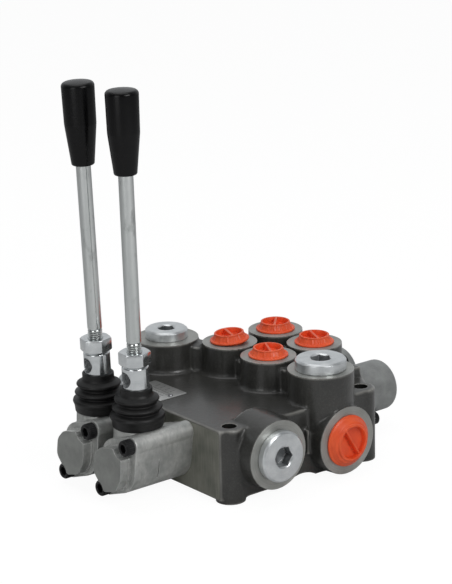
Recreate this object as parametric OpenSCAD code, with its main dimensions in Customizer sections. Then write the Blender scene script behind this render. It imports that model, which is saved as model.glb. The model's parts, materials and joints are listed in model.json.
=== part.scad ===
// Two-spool hydraulic monoblock valve with two hand levers.
// Origin: foot of the front-left mounting lug, on the axis of its hole.
// +X runs along the spools from the levers to the rear caps, +Y from the front face to the back.
// Station 1 is the spool nearer the front face, station 2 the one behind it.

/* [Block] */
// Distance between the two spool axes, and between the two rows of work ports
spool_pitch = 38.5; // [38:0.5:44]
// Height of the flat top of the block
deck_z = 47.5; // [45:0.5:50]
// Height of the machined faces of the upright bosses
boss_top_z = 67; // [65:0.5:72]
// Height of the spool axes
spool_z = 25.3; // [24.5:0.1:26]
// Underside of the block above the mounting feet
under_z = 2.5; // [1:0.5:4]
// Distance between the two front mounting holes
lug_span_x = 106.5; // [104:0.5:108]
// Distance from the front mounting holes to the back one
lug_span_y = 122; // [118:0.5:126]
// Radius of the mounting lugs
lug_r = 9; // [8:0.5:10]
// Radius of the mounting holes
lug_hole_r = 4.5; // [3.5:0.25:5.5]

/* [Ports] */
// Radius of the four work port bosses
work_boss_r = 17.6; // [16:0.1:18]
// Radius of the two large upright bosses
top_boss_r = 21; // [19:0.5:21]
// Radius of the round bosses on the front face
side_boss_r = 21.6; // [20:0.1:22]
// Radius of a half-inch port
half_inch_r = 9.4; // [9:0.1:10]
// Radius of a three-quarter-inch port
three_quarter_r = 12.1; // [11.5:0.1:12.5]
// Radius of the head of a large steel plug
large_plug_r = 16; // [14:0.5:17]
// Radius of the head of the small steel plug
small_plug_r = 13.8; // [12:0.1:15]

/* [Spools] */
// Radius of the spools
spool_r = 8; // [7.5:0.1:8.2]
// Radial clearance of a sliding fit
slide_gap = 0.03; // [0.01:0.01:0.1]
// Travel of a spool each way
stroke = 6.5; // [4:0.1:6.5]

/* [Levers] */
// Distance of the lever pivots in front of the origin
pivot_x = -37; // [-38:0.5:-36]
// Height of the lever pivots
pivot_z = 44; // [43.5:0.1:44.5]
// Radius of the pivot balls
ball_r = 9; // [8.5:0.1:9]
// Lean of lever 1 away from the block at rest, in degrees
lean_1 = 0.8; // [0:0.1:2]
// Lean of lever 2 away from the block at rest, in degrees
lean_2 = 1.8; // [0:0.1:2]
// Height of the knob tops above the pivots
knob_top = 209; // [180:0.1:230]
// Length of a knob
knob_length = 51; // [45:0.1:60]
// Radius of a knob
knob_r = 10; // [9:0.1:12]
// Radius of a lever rod
rod_r = 4.5; // [4:0.1:4.5]

/* [Housings and caps] */
// Radius of the round barrel of a lever housing
barrel_r = 18.5; // [17.5:0.1:19]
// Radius of the flatter inner side of a lever housing
inner_barrel_r = 15.5; // [15:0.1:18]
// Radius of the cylindrical part of a rear cap
rear_cap_r = 17; // [16:0.1:17.5]
// Distance from the block's rear face to the end of a rear cap
rear_cap_length = 43.9; // [43:0.1:50]

/* [Hidden] */
$fn = 64;
eps = 0.01;
fine = 0.03;

// Stations along the spools
front_x = -11;
rear_x = 120;
row_a_x = 66.5;
row_b_x = row_a_x + spool_pitch;
station_y = [42, 42 + spool_pitch];
lean = [lean_1, lean_2];
gallery_x = [row_a_x - spool_pitch, row_a_x - spool_pitch / 2, row_a_x,
    row_a_x + spool_pitch / 2, row_b_x];

// Outline of the block
front_wall_y = -8.5;
back_wall_y = lug_span_y + lug_r;
side_face_y = -20.6;
back_face_y = 139;
corner_y = 98;

// Places of the large ports
top_front = [73.8, 0.5];
top_back = [42.5, 116];
front_port_1 = [20.8, 29.3];
front_port_2 = [76.5, 24.5];
back_port = [77, 24.5];
relief_at = [36, 24.5];
back_boss_r = 20;
relief_boss_r = 14;
boss_root_z = 30;
boss_draft = 1.6;
boss_root_l = 20;
web_w = 16;

// Threaded depths of the ports, and radii of the passages behind them
work_port_l = 16;
top_front_port_l = 19;
top_back_port_l = 17;
side_port_l = 18;
work_passage_r = 7;
side_passage_r = 9;
seat_passage_r = 6;
top_back_passage_r = 6.5;
relief_passage_r = 5;
relief_thread_r = 8.97;
relief_port_l = 19;
relief_bore_r = 5;
port_chamfer = 1.1;
passage_end_y = [24, 104];
passage_z = 24.5;
check_seat_z = 40;
check_spring_z = 43;

// Galleries round the spools, and grooves for the spool seals
gallery_r = 11.5;
gallery_w = 9;
cross_gallery_r = 4;
cross_gallery_y = [16, 70, 112];
seal_groove_x = [-6, 113];
seal_groove_w = 2.6;
seal_groove_r = 10.2;
land_gap = 8;
neck_cut_r = 5;

// Fastener places from each spool axis, as [sideways, up]
housing_ears = [[-15, 15], [10.5, -17.6]];
cap_ears = [[14.5, 16.5], [-15.2, -15.2]];

// Fasteners
m6_r = 3;
m6_head_r = 5;
m6_head_h = 6;
m5_r = 2.5;
m5_head_r = 4.25;
m5_head_h = 5;
ear_r = 5.5;
cap_ear_r = 5.2;

// Lever housing
shoulder_x = -54;
nose_x = -61;
nose_centre = [0.2, -2.2];
nose_r = 15.2;
nose_flat_y = -13.6;
cavity_r = 9.2;
collar_r = 14.8;
collar_z = 46;
tower_r = 13.6;
tower_z = 49.5;
ring_r = 11.2;
ring_z = 38;
pin_r = 2.5;
pin_reach = 10.8;
finger_r = 2.6;
tip_r = 4.1;
eye_r = 4.25;
arm = pivot_z - spool_z;

// Lever stack, as heights above the pivot
boot_low = 2.1;
boot_top = 26.5;
neck_z = 22;
neck_r = 9.75;
boot_wall = 1.5;
boot_rings = [[16.2, boot_low], [16.2, 6], [16.9, 8.5], [14.2, 11], [15.5, 13.8], [12.6, 16.2],
    [13.9, 19], [10.4, neck_z]];
socket_low = 18;
socket_top = 41;
socket_r = 8.2;
cross_hole = 32.5;
nut_h = 8;
nut_turn = [24, 16];
nut_af = 17;
rod_low = 37.2;

// Rear cap
ear_end_x = 139.5;
spool_end_x = 119;
seat_x = spool_end_x + stroke + 0.8;
seat_t = 2;
shelf_x = 143.4;
bore_end_x = rear_x + rear_cap_length - 2.5;
bolt_head_x = shelf_x + stroke + 0.1;
bolt_head_t = 3;

// Push-in caps
small_cap_h = 5.6;
large_cap_h = 6;
small_flange_r = 12.7;
small_crown_r = [10.9, 9.5];
small_stem_l = 8;
large_flange_r = 16.4;
large_crown_r = [15.4, 12];
large_stem_l = 12;
cap_wall = 1.1;
cap_bar = 1.2;
tip_dir = -39;

// Plugs and seals
large_head_h = 7;
front_head_h = 5.5;
small_head_h = 6.2;
seal_t = 1.2;

// Name plate, front-left corner and size
plate_at = [-5, 63];
plate_size = [22.5, 33];

// Points on an arc, from angle a0 to a1
function arc(c, r, a0, a1, n) =
    [for (i = [0 : n]) [c[0] + r * cos(a0 + (a1 - a0) * i / n), c[1] + r * sin(a0 + (a1 - a0) * i / n)]];

// Round barrel with two ears, drawn as a taut outline, with radius ra one side of the ears and rb the other
function eared_outline(ra, rb, e, ears) =
    let (p = ears[0], q = ears[1],
        p_dir = atan2(p[1], p[0]),
        q_dir = atan2(q[1], q[0]) + 360,
        pa = acos((ra - e) / norm(p)), pb = acos((rb - e) / norm(p)),
        qa = acos((ra - e) / norm(q)), qb = acos((rb - e) / norm(q)))
    concat(
        arc(p, e, p_dir - pb, p_dir + pa, 12),
        arc([0, 0], ra, p_dir + pa, q_dir - qa, 12),
        arc(q, e, q_dir - qa, q_dir + qb, 12),
        arc([0, 0], rb, q_dir + qb, p_dir + 360 - pb, 12));

// ---------- helpers ----------

// Cylinder along +X from x0 to x1
module x_rod(r, x0, x1, y = 0, z = 0) {
    translate([x0, y, z]) rotate([0, 90, 0]) cylinder(r = r, h = x1 - x0);
}

// Cylinder along +Y from y0 to y1
module y_rod(r, y0, y1, x = 0, z = 0) {
    translate([x, y0, z]) rotate([-90, 0, 0]) cylinder(r = r, h = y1 - y0);
}

// Cylinder along +Z from z0 to z1
module z_rod(r, z0, z1, x = 0, y = 0) {
    translate([x, y, z0]) cylinder(r = r, h = z1 - z0);
}

// Outline in the YZ plane pushed along +X from x0 to x1
module x_prism(x0, x1, y = 0, z = 0) {
    translate([x0, y, z]) rotate([90, 0, 90]) linear_extrude(x1 - x0) children();
}

// Hexagonal prism with across-flats size af
module hex(af, h) {
    cylinder(r = af / sqrt(3), h = h, $fn = 6);
}

// Both fastener places of the station at y
module at_ears(y, ears) {
    for (p = ears) translate([0, y + p[0], spool_z + p[1]]) children();
}

// Coil spring along +Z, with the wire swept round a helix
module coil(r, wire, length, turns) {
    steps = turns * 18;
    sides = 6;
    climb = (length - 2 * wire) / steps;
    points = [for (i = [0 : steps], k = [0 : sides - 1])
        let (a = 20 * i, b = 360 / sides * k, q = r + wire * cos(b))
        [q * cos(a), q * sin(a), wire + climb * i + wire * sin(b)]];
    skin = [for (i = [0 : steps - 1], k = [0 : sides - 1])
        let (n = (k + 1) % sides)
        [i * sides + k, i * sides + n, (i + 1) * sides + n, (i + 1) * sides + k]];
    first = [for (k = [sides - 1 : -1 : 0]) k];
    last = [for (k = [0 : sides - 1]) steps * sides + k];
    polyhedron(points, concat(skin, [first, last]), convexity = 10);
}

// ---------- block ----------

module work_ports() {
    for (x = [row_a_x, row_b_x], y = station_y) translate([x, y, 0]) children();
}

module web(from, to, width, top) {
    run = to - from;
    translate([from[0], from[1], boss_root_z])
        rotate([0, 0, atan2(run[1], run[0])])
            translate([0, -width / 2, 0]) cube([norm(run), width, top - boss_root_z]);
}

module block_shape() {
    outline = [
        [front_x, -4], [0, front_wall_y], [lug_span_x, front_wall_y],
        [rear_x - 4, front_wall_y + 14], [rear_x, 12], [rear_x, 110], [lug_span_x, back_wall_y],
        [30, back_wall_y], [front_x, corner_y]
    ];
    translate([0, 0, under_z]) linear_extrude(deck_z - under_z) polygon(outline);
    for (p = [[0, 0], [lug_span_x, 0], [lug_span_x, lug_span_y]])
        translate(p) cylinder(r = lug_r, h = deck_z);
    work_ports() translate([0, 0, boss_root_z])
        cylinder(r = work_boss_r, h = boss_top_z - boss_root_z);
    for (p = [top_front, top_back])
        translate([p[0], p[1], boss_root_z]) cylinder(r = top_boss_r, h = boss_top_z - boss_root_z);
    for (x = [row_a_x, row_b_x])
        web([x, station_y[0]], [x, station_y[1]], web_w, boss_top_z - 7);
    for (y = station_y)
        web([row_a_x, y], [row_b_x, y], web_w, boss_top_z - 7);
    web(top_back, [row_a_x, station_y[1]], web_w, boss_top_z - 3);
    web(top_front, [row_a_x, station_y[0]], web_w, boss_top_z - 4);
    web(top_front, [row_b_x, station_y[0]], web_w - 2, boss_top_z - 10);
    translate([row_b_x, 14, under_z]) cube([rear_x - row_b_x, 84, boss_top_z - 13 - under_z]);
}

module side_bosses() {
    wall = front_wall_y + 14;
    for (p = [front_port_1, front_port_2])
        translate([p[0], side_face_y, p[1]]) rotate([-90, 0, 0])
            cylinder(r1 = side_boss_r, r2 = side_boss_r + boss_draft, h = wall - side_face_y);
    translate([back_port[0], back_face_y, back_port[1]]) rotate([90, 0, 0])
        cylinder(r1 = back_boss_r, r2 = back_boss_r + boss_draft, h = boss_root_l);
    translate([relief_at[0], back_face_y, relief_at[1]]) rotate([90, 0, 0])
        cylinder(r1 = relief_boss_r, r2 = relief_boss_r + boss_draft, h = boss_root_l);
}

module port_holes() {
    work_ports() {
        z_rod(half_inch_r, boss_top_z - work_port_l, boss_top_z + eps);
        z_rod(work_passage_r, spool_z, boss_top_z - work_port_l + 1);
        translate([0, 0, boss_top_z - port_chamfer + eps])
            cylinder(r1 = half_inch_r, r2 = half_inch_r + port_chamfer, h = port_chamfer);
    }
    translate([top_front[0], top_front[1], 0]) {
        z_rod(three_quarter_r, boss_top_z - top_front_port_l, boss_top_z + eps);
        z_rod(side_passage_r, check_seat_z, boss_top_z - top_front_port_l + 1);
        z_rod(seat_passage_r, passage_z, check_seat_z + 1);
    }
    translate([top_back[0], top_back[1], 0]) {
        z_rod(half_inch_r, boss_top_z - top_back_port_l, boss_top_z + eps);
        z_rod(top_back_passage_r, passage_z, boss_top_z - top_back_port_l + 1);
    }
    for (p = [front_port_1, front_port_2]) {
        y_rod(three_quarter_r, side_face_y - eps, side_face_y + side_port_l, p[0], p[1]);
        y_rod(side_passage_r, side_face_y + side_port_l - 1, passage_end_y[0], p[0], p[1]);
    }
    y_rod(three_quarter_r, back_face_y - side_port_l, back_face_y + eps, back_port[0], back_port[1]);
    y_rod(side_passage_r, passage_end_y[1], back_face_y - side_port_l + 1, back_port[0], back_port[1]);
    relief_end_y = back_face_y - relief_port_l;
    y_rod(relief_thread_r + fine, relief_end_y, back_face_y + eps, relief_at[0], relief_at[1]);
    y_rod(relief_passage_r, passage_end_y[1], relief_end_y + 1, relief_at[0], relief_at[1]);
}

module galleries() {
    for (y = station_y) {
        x_rod(spool_r + slide_gap, front_x - eps, rear_x + eps, y, spool_z);
        for (x = gallery_x) x_rod(gallery_r, x - gallery_w / 2, x + gallery_w / 2, y, spool_z);
        for (x = seal_groove_x) x_rod(seal_groove_r, x, x + seal_groove_w, y, spool_z);
    }
    for (x = [gallery_x[0], gallery_x[3]])
        y_rod(cross_gallery_r, cross_gallery_y[0], cross_gallery_y[2], x, spool_z);
    y_rod(cross_gallery_r, cross_gallery_y[1], cross_gallery_y[2], gallery_x[1], spool_z);
}

module valve_body() {
    color([0.25, 0.25, 0.25]) difference() {
        union() {
            block_shape();
            side_bosses();
        }
        // the strip of the underside nearest the front sits a little higher
        translate([-8, -40, -eps]) difference() {
            translate([-20, 20, 0]) cube([190, 35, 5.2]);
            for (p = [[8, 40], [lug_span_x + 8, 40]]) translate(p) cylinder(r = lug_r + 0.2, h = 6);
        }
        // the rear face is machined flat below the deck
        translate([rear_x, -20, -1]) cube([10, 160, deck_z]);
        port_holes();
        galleries();
        for (p = [[0, 0], [lug_span_x, 0], [lug_span_x, lug_span_y]])
            translate([p[0], p[1], -1]) cylinder(r = lug_hole_r, h = deck_z + 20);
        for (y = station_y) {
            at_ears(y, housing_ears) x_rod(m6_r + fine, front_x - eps, front_x + 20);
            at_ears(y, cap_ears) x_rod(m5_r + fine, rear_x - 14, rear_x + eps);
        }
        rivet_places() translate([0, 0, deck_z - 4]) cylinder(r = 0.9, h = 5);
    }
}

// ---------- spools ----------

module spool(y) {
    color([0.75, 0.75, 0.77]) difference() {
        x_rod(spool_r, pivot_x - 7.5, spool_end_x, y, spool_z);
        for (x = [for (i = [0 : 3]) (gallery_x[i] + gallery_x[i + 1]) / 2])
            difference() {
                x_rod(spool_r + 1, x - land_gap / 2, x + land_gap / 2, y, spool_z);
                x_rod(neck_cut_r, x - land_gap, x + land_gap, y, spool_z);
            }
        // flats and eye that take the tip of the lever
        for (z = [spool_z + 4, spool_z - 14])
            translate([pivot_x - 10, y - 10, z]) cube([21, 20, 10]);
        z_rod(eye_r, spool_z - 10, spool_z + 10, pivot_x, y);
        x_rod(m6_r + fine, spool_end_x - 14, spool_end_x + eps, y, spool_z);
    }
}

module spool_bolt(y) {
    color([0.6, 0.6, 0.62]) difference() {
        union() {
            x_rod(m6_r, spool_end_x - 13, spool_end_x + eps, y, spool_z);
            x_rod(3.4, spool_end_x, bolt_head_x + eps, y, spool_z);
            x_rod(7, bolt_head_x, bolt_head_x + bolt_head_t, y, spool_z);
        }
        translate([bolt_head_x + 1, y, spool_z]) rotate([0, 90, 0]) hex(5, 3);
    }
}

module spool_seals() {
    color([0.08, 0.08, 0.08]) for (y = station_y, x = seal_groove_x)
        difference() {
            x_rod(seal_groove_r - 0.05, x + 0.1, x + seal_groove_w - 0.1, y, spool_z);
            x_rod(spool_r + slide_gap, x, x + seal_groove_w, y, spool_z);
        }
}

// ---------- lever housings ----------

// End face: a disc with one straight side, cleared round the upper screw head and cut close to the lower one
module nose_outline() {
    difference() {
        intersection() {
            translate(nose_centre) circle(r = nose_r);
            translate([nose_flat_y, -20]) square(40);
        }
        translate(housing_ears[0]) circle(r = m6_head_r + 2.6);
        translate(housing_ears[1]) circle(r = m6_head_r + 0.3);
    }
}

module lever_housing(y) {
    color([0.55, 0.56, 0.56]) difference() {
        union() {
            x_prism(shoulder_x, front_x, y, spool_z)
                polygon(eared_outline(barrel_r, inner_barrel_r, ear_r, housing_ears));
            x_prism(nose_x, shoulder_x + eps, y, spool_z) nose_outline();
            z_rod(collar_r, 35, collar_z, pivot_x, y);
            z_rod(tower_r, 35, tower_z, pivot_x, y);
        }
        x_rod(cavity_r, -56, front_x + eps, y, spool_z);
        z_rod(ring_r + fine, ring_z, tower_z + eps, pivot_x, y);
        z_rod(9, spool_z, ring_z + eps, pivot_x, y);
        at_ears(y, housing_ears) x_rod(3.25, shoulder_x - eps, front_x + eps);
    }
}

module housing_screws() {
    color([0.1, 0.1, 0.1]) for (y = station_y)
        at_ears(y, housing_ears) difference() {
            union() {
                x_rod(m6_head_r, shoulder_x - m6_head_h, shoulder_x);
                x_rod(m6_r, shoulder_x - eps, front_x + 18);
            }
            translate([shoulder_x - m6_head_h - eps, 0, 0]) rotate([0, 90, 0]) hex(5, 3.2);
        }
}

// Ring in two halves, which meet at the height of the pivot and hold the ball and its side pins
module pivot_ring(y) {
    color([0.85, 0.85, 0.8]) difference() {
        z_rod(ring_r, ring_z, tower_z, pivot_x, y);
        translate([pivot_x, y, pivot_z]) sphere(r = ball_r + slide_gap);
        y_rod(pin_r + slide_gap, y - pin_reach - 0.1, y + pin_reach + 0.1, pivot_x, pivot_z);
        translate([pivot_x, y, pivot_z]) cube([3 * ring_r, 3 * ring_r, 0.04], center = true);
    }
}

// ---------- levers ----------

module at_pivot(i) {
    translate([pivot_x, station_y[i], pivot_z]) children();
}

module leaning(i) {
    at_pivot(i) rotate([0, -lean[i], 0]) children();
}

module lever_pivot(i) {
    color([0.7, 0.7, 0.72]) {
        union() {
            at_pivot(i) {
                sphere(r = ball_r);
                y_rod(pin_r, -pin_reach, pin_reach);
                z_rod(finger_r, -arm, -ball_r + 1);
                translate([0, 0, -arm]) sphere(r = tip_r);
            }
            leaning(i) z_rod(4, ball_r - 1, socket_low + 7);
        }
    }
}

// Rubber boot: upright rings seated on the housing, and a neck that leans with the lever
module lever_boot(i) {
    inner = concat(
        [[0, boot_low], [tower_r + fine, boot_low], [tower_r + fine, boot_rings[1][1]]],
        [for (k = [2 : len(boot_rings) - 2]) [boot_rings[k][0] - boot_wall, boot_rings[k][1]]],
        [[socket_r, neck_z], [0, neck_z]]);
    color([0.07, 0.07, 0.07]) difference() {
        union() {
            at_pivot(i) rotate_extrude() polygon(concat([[0, boot_low]], boot_rings, [[0, neck_z + 0.5]]));
            leaning(i) z_rod(neck_r, neck_z - 1, boot_top);
        }
        at_pivot(i) rotate_extrude() polygon(inner);
        leaning(i) z_rod(socket_r + 0.08, neck_z - 1, boot_top + 1);
    }
}

module lever_socket(i) {
    color([0.75, 0.75, 0.76]) leaning(i) difference() {
        z_rod(socket_r, socket_low, socket_top);
        z_rod(4 + fine, socket_low - eps, socket_low + 7.4);
        z_rod(rod_r + fine, cross_hole + 3.5, socket_top + eps);
        x_rod(4.25, -10, 2, 0, cross_hole);
    }
}

module lock_nut(i) {
    corner = nut_af / sqrt(3);
    color([0.8, 0.8, 0.82]) leaning(i) translate([0, 0, socket_top]) difference() {
        intersection() {
            rotate(nut_turn[i]) hex(nut_af, nut_h);
            rotate_extrude() polygon([[0, 0], [corner - 1, 0], [corner + 0.2, 0.8],
                [corner + 0.2, nut_h - 0.8], [corner - 1, nut_h], [0, nut_h]]);
        }
        translate([0, 0, -eps]) cylinder(r = rod_r + fine, h = nut_h + 1);
    }
}

module lever_rod(i) {
    color([0.8, 0.8, 0.82]) leaning(i) z_rod(rod_r, rod_low, knob_top - knob_length + 30);
}

module lever_knob(i) {
    low = knob_top - knob_length;
    shape = concat(
        [[0, low], [5.6, low]],
        arc([5.6, low + 1.3], 1.3, -90, 0, 4),
        [[knob_r - 0.35, low + 25]],
        arc([knob_r - 3.5, knob_top - 3.5], 3.5, 0, 80, 8),
        [[0, knob_top]]);
    color([0.03, 0.03, 0.03]) leaning(i) difference() {
        rotate_extrude() polygon(shape);
        z_rod(rod_r + fine, low - eps, low + 30.1);
    }
}

// ---------- rear caps ----------

module rear_cap(y) {
    end = rear_x + rear_cap_length;
    web_r = rear_cap_r - 1;
    shell = concat([[0, rear_x], [rear_cap_r, rear_x]],
        arc([rear_cap_r - 3, end - 3], 3, 0, 90, 8), [[0, end]]);
    color([0.5, 0.5, 0.5]) difference() {
        union() {
            translate([0, y, spool_z]) rotate([0, 90, 0]) rotate_extrude() polygon(shell);
            x_prism(rear_x, ear_end_x, y, spool_z)
                polygon(eared_outline(web_r, web_r, cap_ear_r, cap_ears));
        }
        x_rod(12.5, rear_x - eps, shelf_x, y, spool_z);
        x_rod(9.5, shelf_x - eps, bore_end_x, y, spool_z);
        at_ears(y, cap_ears) x_rod(2.75, rear_x - eps, ear_end_x + eps);
    }
}

module rear_cap_screws() {
    color([0.1, 0.1, 0.1]) for (y = station_y)
        at_ears(y, cap_ears) difference() {
            union() {
                x_rod(m5_head_r, ear_end_x, ear_end_x + m5_head_h);
                x_rod(m5_r, rear_x - 12, ear_end_x + eps);
            }
            translate([ear_end_x + m5_head_h - 2.7, 0, 0]) rotate([0, 90, 0]) hex(4, 3);
        }
}

module centring_spring(y) {
    color([0.65, 0.65, 0.68])
        translate([seat_x + seat_t, y, spool_z]) rotate([0, 90, 0])
            coil(9.2, 1.2, shelf_x - 2 * seat_t - seat_x, 4);
}

module spring_seats(y) {
    color([0.7, 0.7, 0.72]) {
        difference() {
            x_rod(12.4, rear_x, seat_x + seat_t, y, spool_z);
            x_rod(9, rear_x - eps, seat_x, y, spool_z);
            x_rod(3.6, rear_x, seat_x + seat_t + eps, y, spool_z);
        }
        difference() {
            x_rod(12.4, shelf_x - seat_t, shelf_x, y, spool_z);
            x_rod(3.6, shelf_x - seat_t - eps, shelf_x + eps, y, spool_z);
        }
    }
}

// ---------- port caps and plugs ----------

// Push-in cap with its flange on z = 0: a flared crown, open on top, with one bar across it
module push_cap(flange_r, crown_r, height, stem_r, stem_l, turn) {
    color([0.88, 0.3, 0.14]) rotate([0, 0, turn]) difference() {
        union() {
            cylinder(r = flange_r, h = 1.5);
            translate([0, 0, 1]) cylinder(r1 = crown_r[0], r2 = crown_r[1], h = height - 1);
            translate([0, 0, -stem_l]) cylinder(r = stem_r, h = stem_l + 0.5);
        }
        difference() {
            translate([0, 0, 2]) cylinder(r = crown_r[1] - cap_wall, h = height);
            translate([0, 0, 10]) cube([60, cap_bar, 20], center = true);
        }
        translate([0, 0, -stem_l - eps]) cylinder(r = stem_r - 1.5, h = stem_l - 1);
    }
}

// Small cap, which can sit tipped up on one edge of its flange
module port_cap(x, y, turn, tip = 0) {
    translate([x, y, boss_top_z])
        rotate([0, 0, tip_dir]) translate([-small_flange_r, 0, 0]) rotate([0, -tip, 0])
            translate([small_flange_r, 0, 0]) rotate([0, 0, -tip_dir])
                push_cap(small_flange_r, small_crown_r, small_cap_h, half_inch_r - 0.7, small_stem_l, turn);
}

module large_cap(turn) {
    push_cap(large_flange_r, large_crown_r, large_cap_h, three_quarter_r - fine, large_stem_l, turn);
}

module front_port_cap() {
    translate([front_port_2[0], side_face_y, front_port_2[1]]) rotate([90, 0, 0]) large_cap(-58);
}

module back_port_cap() {
    translate([back_port[0], back_face_y, back_port[1]]) rotate([-90, 0, 0]) large_cap(30);
}

// Hexagon-socket plug with the underside of its head on z = 0
module socket_plug(head_r, head_h, thread_r, thread_l, af, pocket_r, pocket_l) {
    color([0.78, 0.79, 0.8]) difference() {
        union() {
            rotate_extrude() polygon(concat([[0, 0], [head_r - 0.4, 0], [head_r, 0.4]],
                arc([head_r - 1.8, head_h - 1.8], 1.8, 0, 90, 8), [[0, head_h]]));
            translate([0, 0, -thread_l]) cylinder(r = thread_r, h = thread_l + 1);
        }
        translate([0, 0, head_h - 8]) hex(af, 9);
        translate([0, 0, -thread_l - eps]) cylinder(r = pocket_r, h = pocket_l);
        translate([0, 0, -seal_t]) difference() {
            cylinder(r = thread_r + 1, h = seal_t);
            translate([0, 0, -1]) cylinder(r = thread_r - 0.9, h = seal_t + 2);
        }
    }
}

module top_plug_front() {
    translate([top_front[0], top_front[1], boss_top_z])
        socket_plug(large_plug_r, large_head_h, three_quarter_r - fine, 14, 12, 5, 6);
}

module top_plug_back() {
    translate([top_back[0], top_back[1], boss_top_z])
        socket_plug(small_plug_r, small_head_h, half_inch_r - fine, 14, 10, 4, 4);
}

module front_plug() {
    translate([front_port_1[0], side_face_y, front_port_1[1]]) rotate([90, 0, 0])
        socket_plug(large_plug_r, front_head_h, three_quarter_r - fine, 14, 12, 5, 6);
}

module plug_seal(thread_r) {
    translate([0, 0, -seal_t + 0.1]) difference() {
        cylinder(r = thread_r - 0.02, h = seal_t - 0.2);
        translate([0, 0, -1]) cylinder(r = thread_r - 0.85, h = seal_t + 2);
    }
}

module plug_seals() {
    color([0.08, 0.08, 0.08]) {
        translate([top_front[0], top_front[1], boss_top_z]) plug_seal(three_quarter_r);
        translate([top_back[0], top_back[1], boss_top_z]) plug_seal(half_inch_r);
        translate([front_port_1[0], side_face_y, front_port_1[1]]) rotate([90, 0, 0])
            plug_seal(three_quarter_r);
    }
}

// ---------- load check under the front upright plug ----------

module check_poppet() {
    color([0.7, 0.7, 0.72]) translate([top_front[0], top_front[1], check_seat_z]) difference() {
        union() {
            translate([0, 0, -2]) cylinder(r1 = 3.5, r2 = 5.6, h = 2 + eps);
            cylinder(r = side_passage_r - fine, h = 8);
        }
        translate([0, 0, 3]) cylinder(r = 5.5, h = 6);
    }
}

module check_spring() {
    color([0.65, 0.65, 0.68])
        translate([top_front[0], top_front[1], check_spring_z])
            coil(3.9, 0.7, boss_top_z - 8.1 - check_spring_z, 5);
}

// ---------- relief valve on the back ----------

module on_relief(y) {
    translate([relief_at[0], y, relief_at[1]]) rotate([-90, 0, 0]) children();
}

module relief_cartridge() {
    color([0.78, 0.79, 0.8]) on_relief(back_face_y) difference() {
        union() {
            translate([0, 0, 1 - relief_port_l]) cylinder(r = relief_thread_r, h = relief_port_l - 0.5);
            cylinder(r = 13, h = 2);
            translate([0, 0, 2 - eps]) hex(22, 8);
        }
        translate([0, 0, -15]) cylinder(r = relief_bore_r, h = 30);
        translate([0, 0, -19]) cylinder(r = 2.6, h = 5);
    }
}

module relief_poppet() {
    color([0.7, 0.7, 0.72]) on_relief(back_face_y - 15) union() {
        translate([0, 0, -1]) cylinder(r1 = 1.6, r2 = 2.5, h = 1 + eps);
        cylinder(r = relief_bore_r - fine, h = 6);
    }
}

module relief_spring() {
    color([0.65, 0.65, 0.68]) on_relief(back_face_y - 9) coil(3.6, 0.7, 13, 6);
}

module relief_adjuster() {
    color([0.3, 0.3, 0.3]) on_relief(back_face_y + 4) difference() {
        cylinder(r = relief_bore_r - fine, h = 17);
        translate([0, 0, 13]) hex(5, 5);
    }
}

module relief_lock_nut() {
    color([0.78, 0.79, 0.8]) on_relief(back_face_y + 10) difference() {
        hex(17, 6);
        translate([0, 0, -eps]) cylinder(r = relief_bore_r, h = 7);
    }
}

// ---------- name plate ----------

module rivet_places() {
    for (s = [-1, 1])
        translate([plate_at[0] + plate_size[0] / 2, plate_at[1] + plate_size[1] / 2
            + s * (plate_size[1] / 2 - 3), 0])
            children();
}

module name_plate() {
    color([0.8, 0.8, 0.8]) difference() {
        translate([plate_at[0], plate_at[1], deck_z]) cube([plate_size[0], plate_size[1], 0.5]);
        rivet_places() translate([0, 0, deck_z - 1]) cylinder(r = 0.95, h = 3);
    }
}

module plate_rivets() {
    color([0.7, 0.7, 0.7]) rivet_places() translate([0, 0, deck_z]) union() {
        translate([0, 0, 0.5]) cylinder(r = 1.6, h = 0.7);
        translate([0, 0, -3]) cylinder(r = 0.88, h = 3.6);
    }
}

valve_body();
spool(station_y[0]);  // spool_1
spool(station_y[1]);  // spool_2
spool_bolt(station_y[0]);  // spool_bolt_1
spool_bolt(station_y[1]);  // spool_bolt_2
spool_seals();
lever_housing(station_y[0]);  // lever_housing_1
lever_housing(station_y[1]);  // lever_housing_2
housing_screws();
pivot_ring(station_y[0]);  // pivot_ring_1
pivot_ring(station_y[1]);  // pivot_ring_2
lever_pivot(0);  // lever_pivot_1
lever_pivot(1);  // lever_pivot_2
lever_boot(0);  // lever_boot_1
lever_boot(1);  // lever_boot_2
lever_socket(0);  // lever_socket_1
lever_socket(1);  // lever_socket_2
lock_nut(0);  // lock_nut_1
lock_nut(1);  // lock_nut_2
lever_rod(0);  // lever_rod_1
lever_rod(1);  // lever_rod_2
lever_knob(0);  // lever_knob_1
lever_knob(1);  // lever_knob_2
rear_cap(station_y[0]);  // rear_cap_1
rear_cap(station_y[1]);  // rear_cap_2
rear_cap_screws();
centring_spring(station_y[0]);  // centring_spring_1
centring_spring(station_y[1]);  // centring_spring_2
spring_seats(station_y[0]);  // spring_seats_1
spring_seats(station_y[1]);  // spring_seats_2
port_cap(row_a_x, station_y[0], 61);  // port_cap_a1
port_cap(row_b_x, station_y[0], 67);  // port_cap_b1
port_cap(row_a_x, station_y[1], 69, 4.5);  // port_cap_a2
port_cap(row_b_x, station_y[1], 46);  // port_cap_b2
front_port_cap();
back_port_cap();
top_plug_front();
top_plug_back();
front_plug();
plug_seals();
check_poppet();
check_spring();
relief_cartridge();
relief_poppet();
relief_spring();
relief_adjuster();
relief_lock_nut();
name_plate();
plate_rivets();
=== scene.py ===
"""Two-spool hydraulic monoblock valve: the visible pieces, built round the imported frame."""
import json
import math

import bmesh
import bpy
import numpy as np
from mathutils import Matrix, Vector, noise


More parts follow.
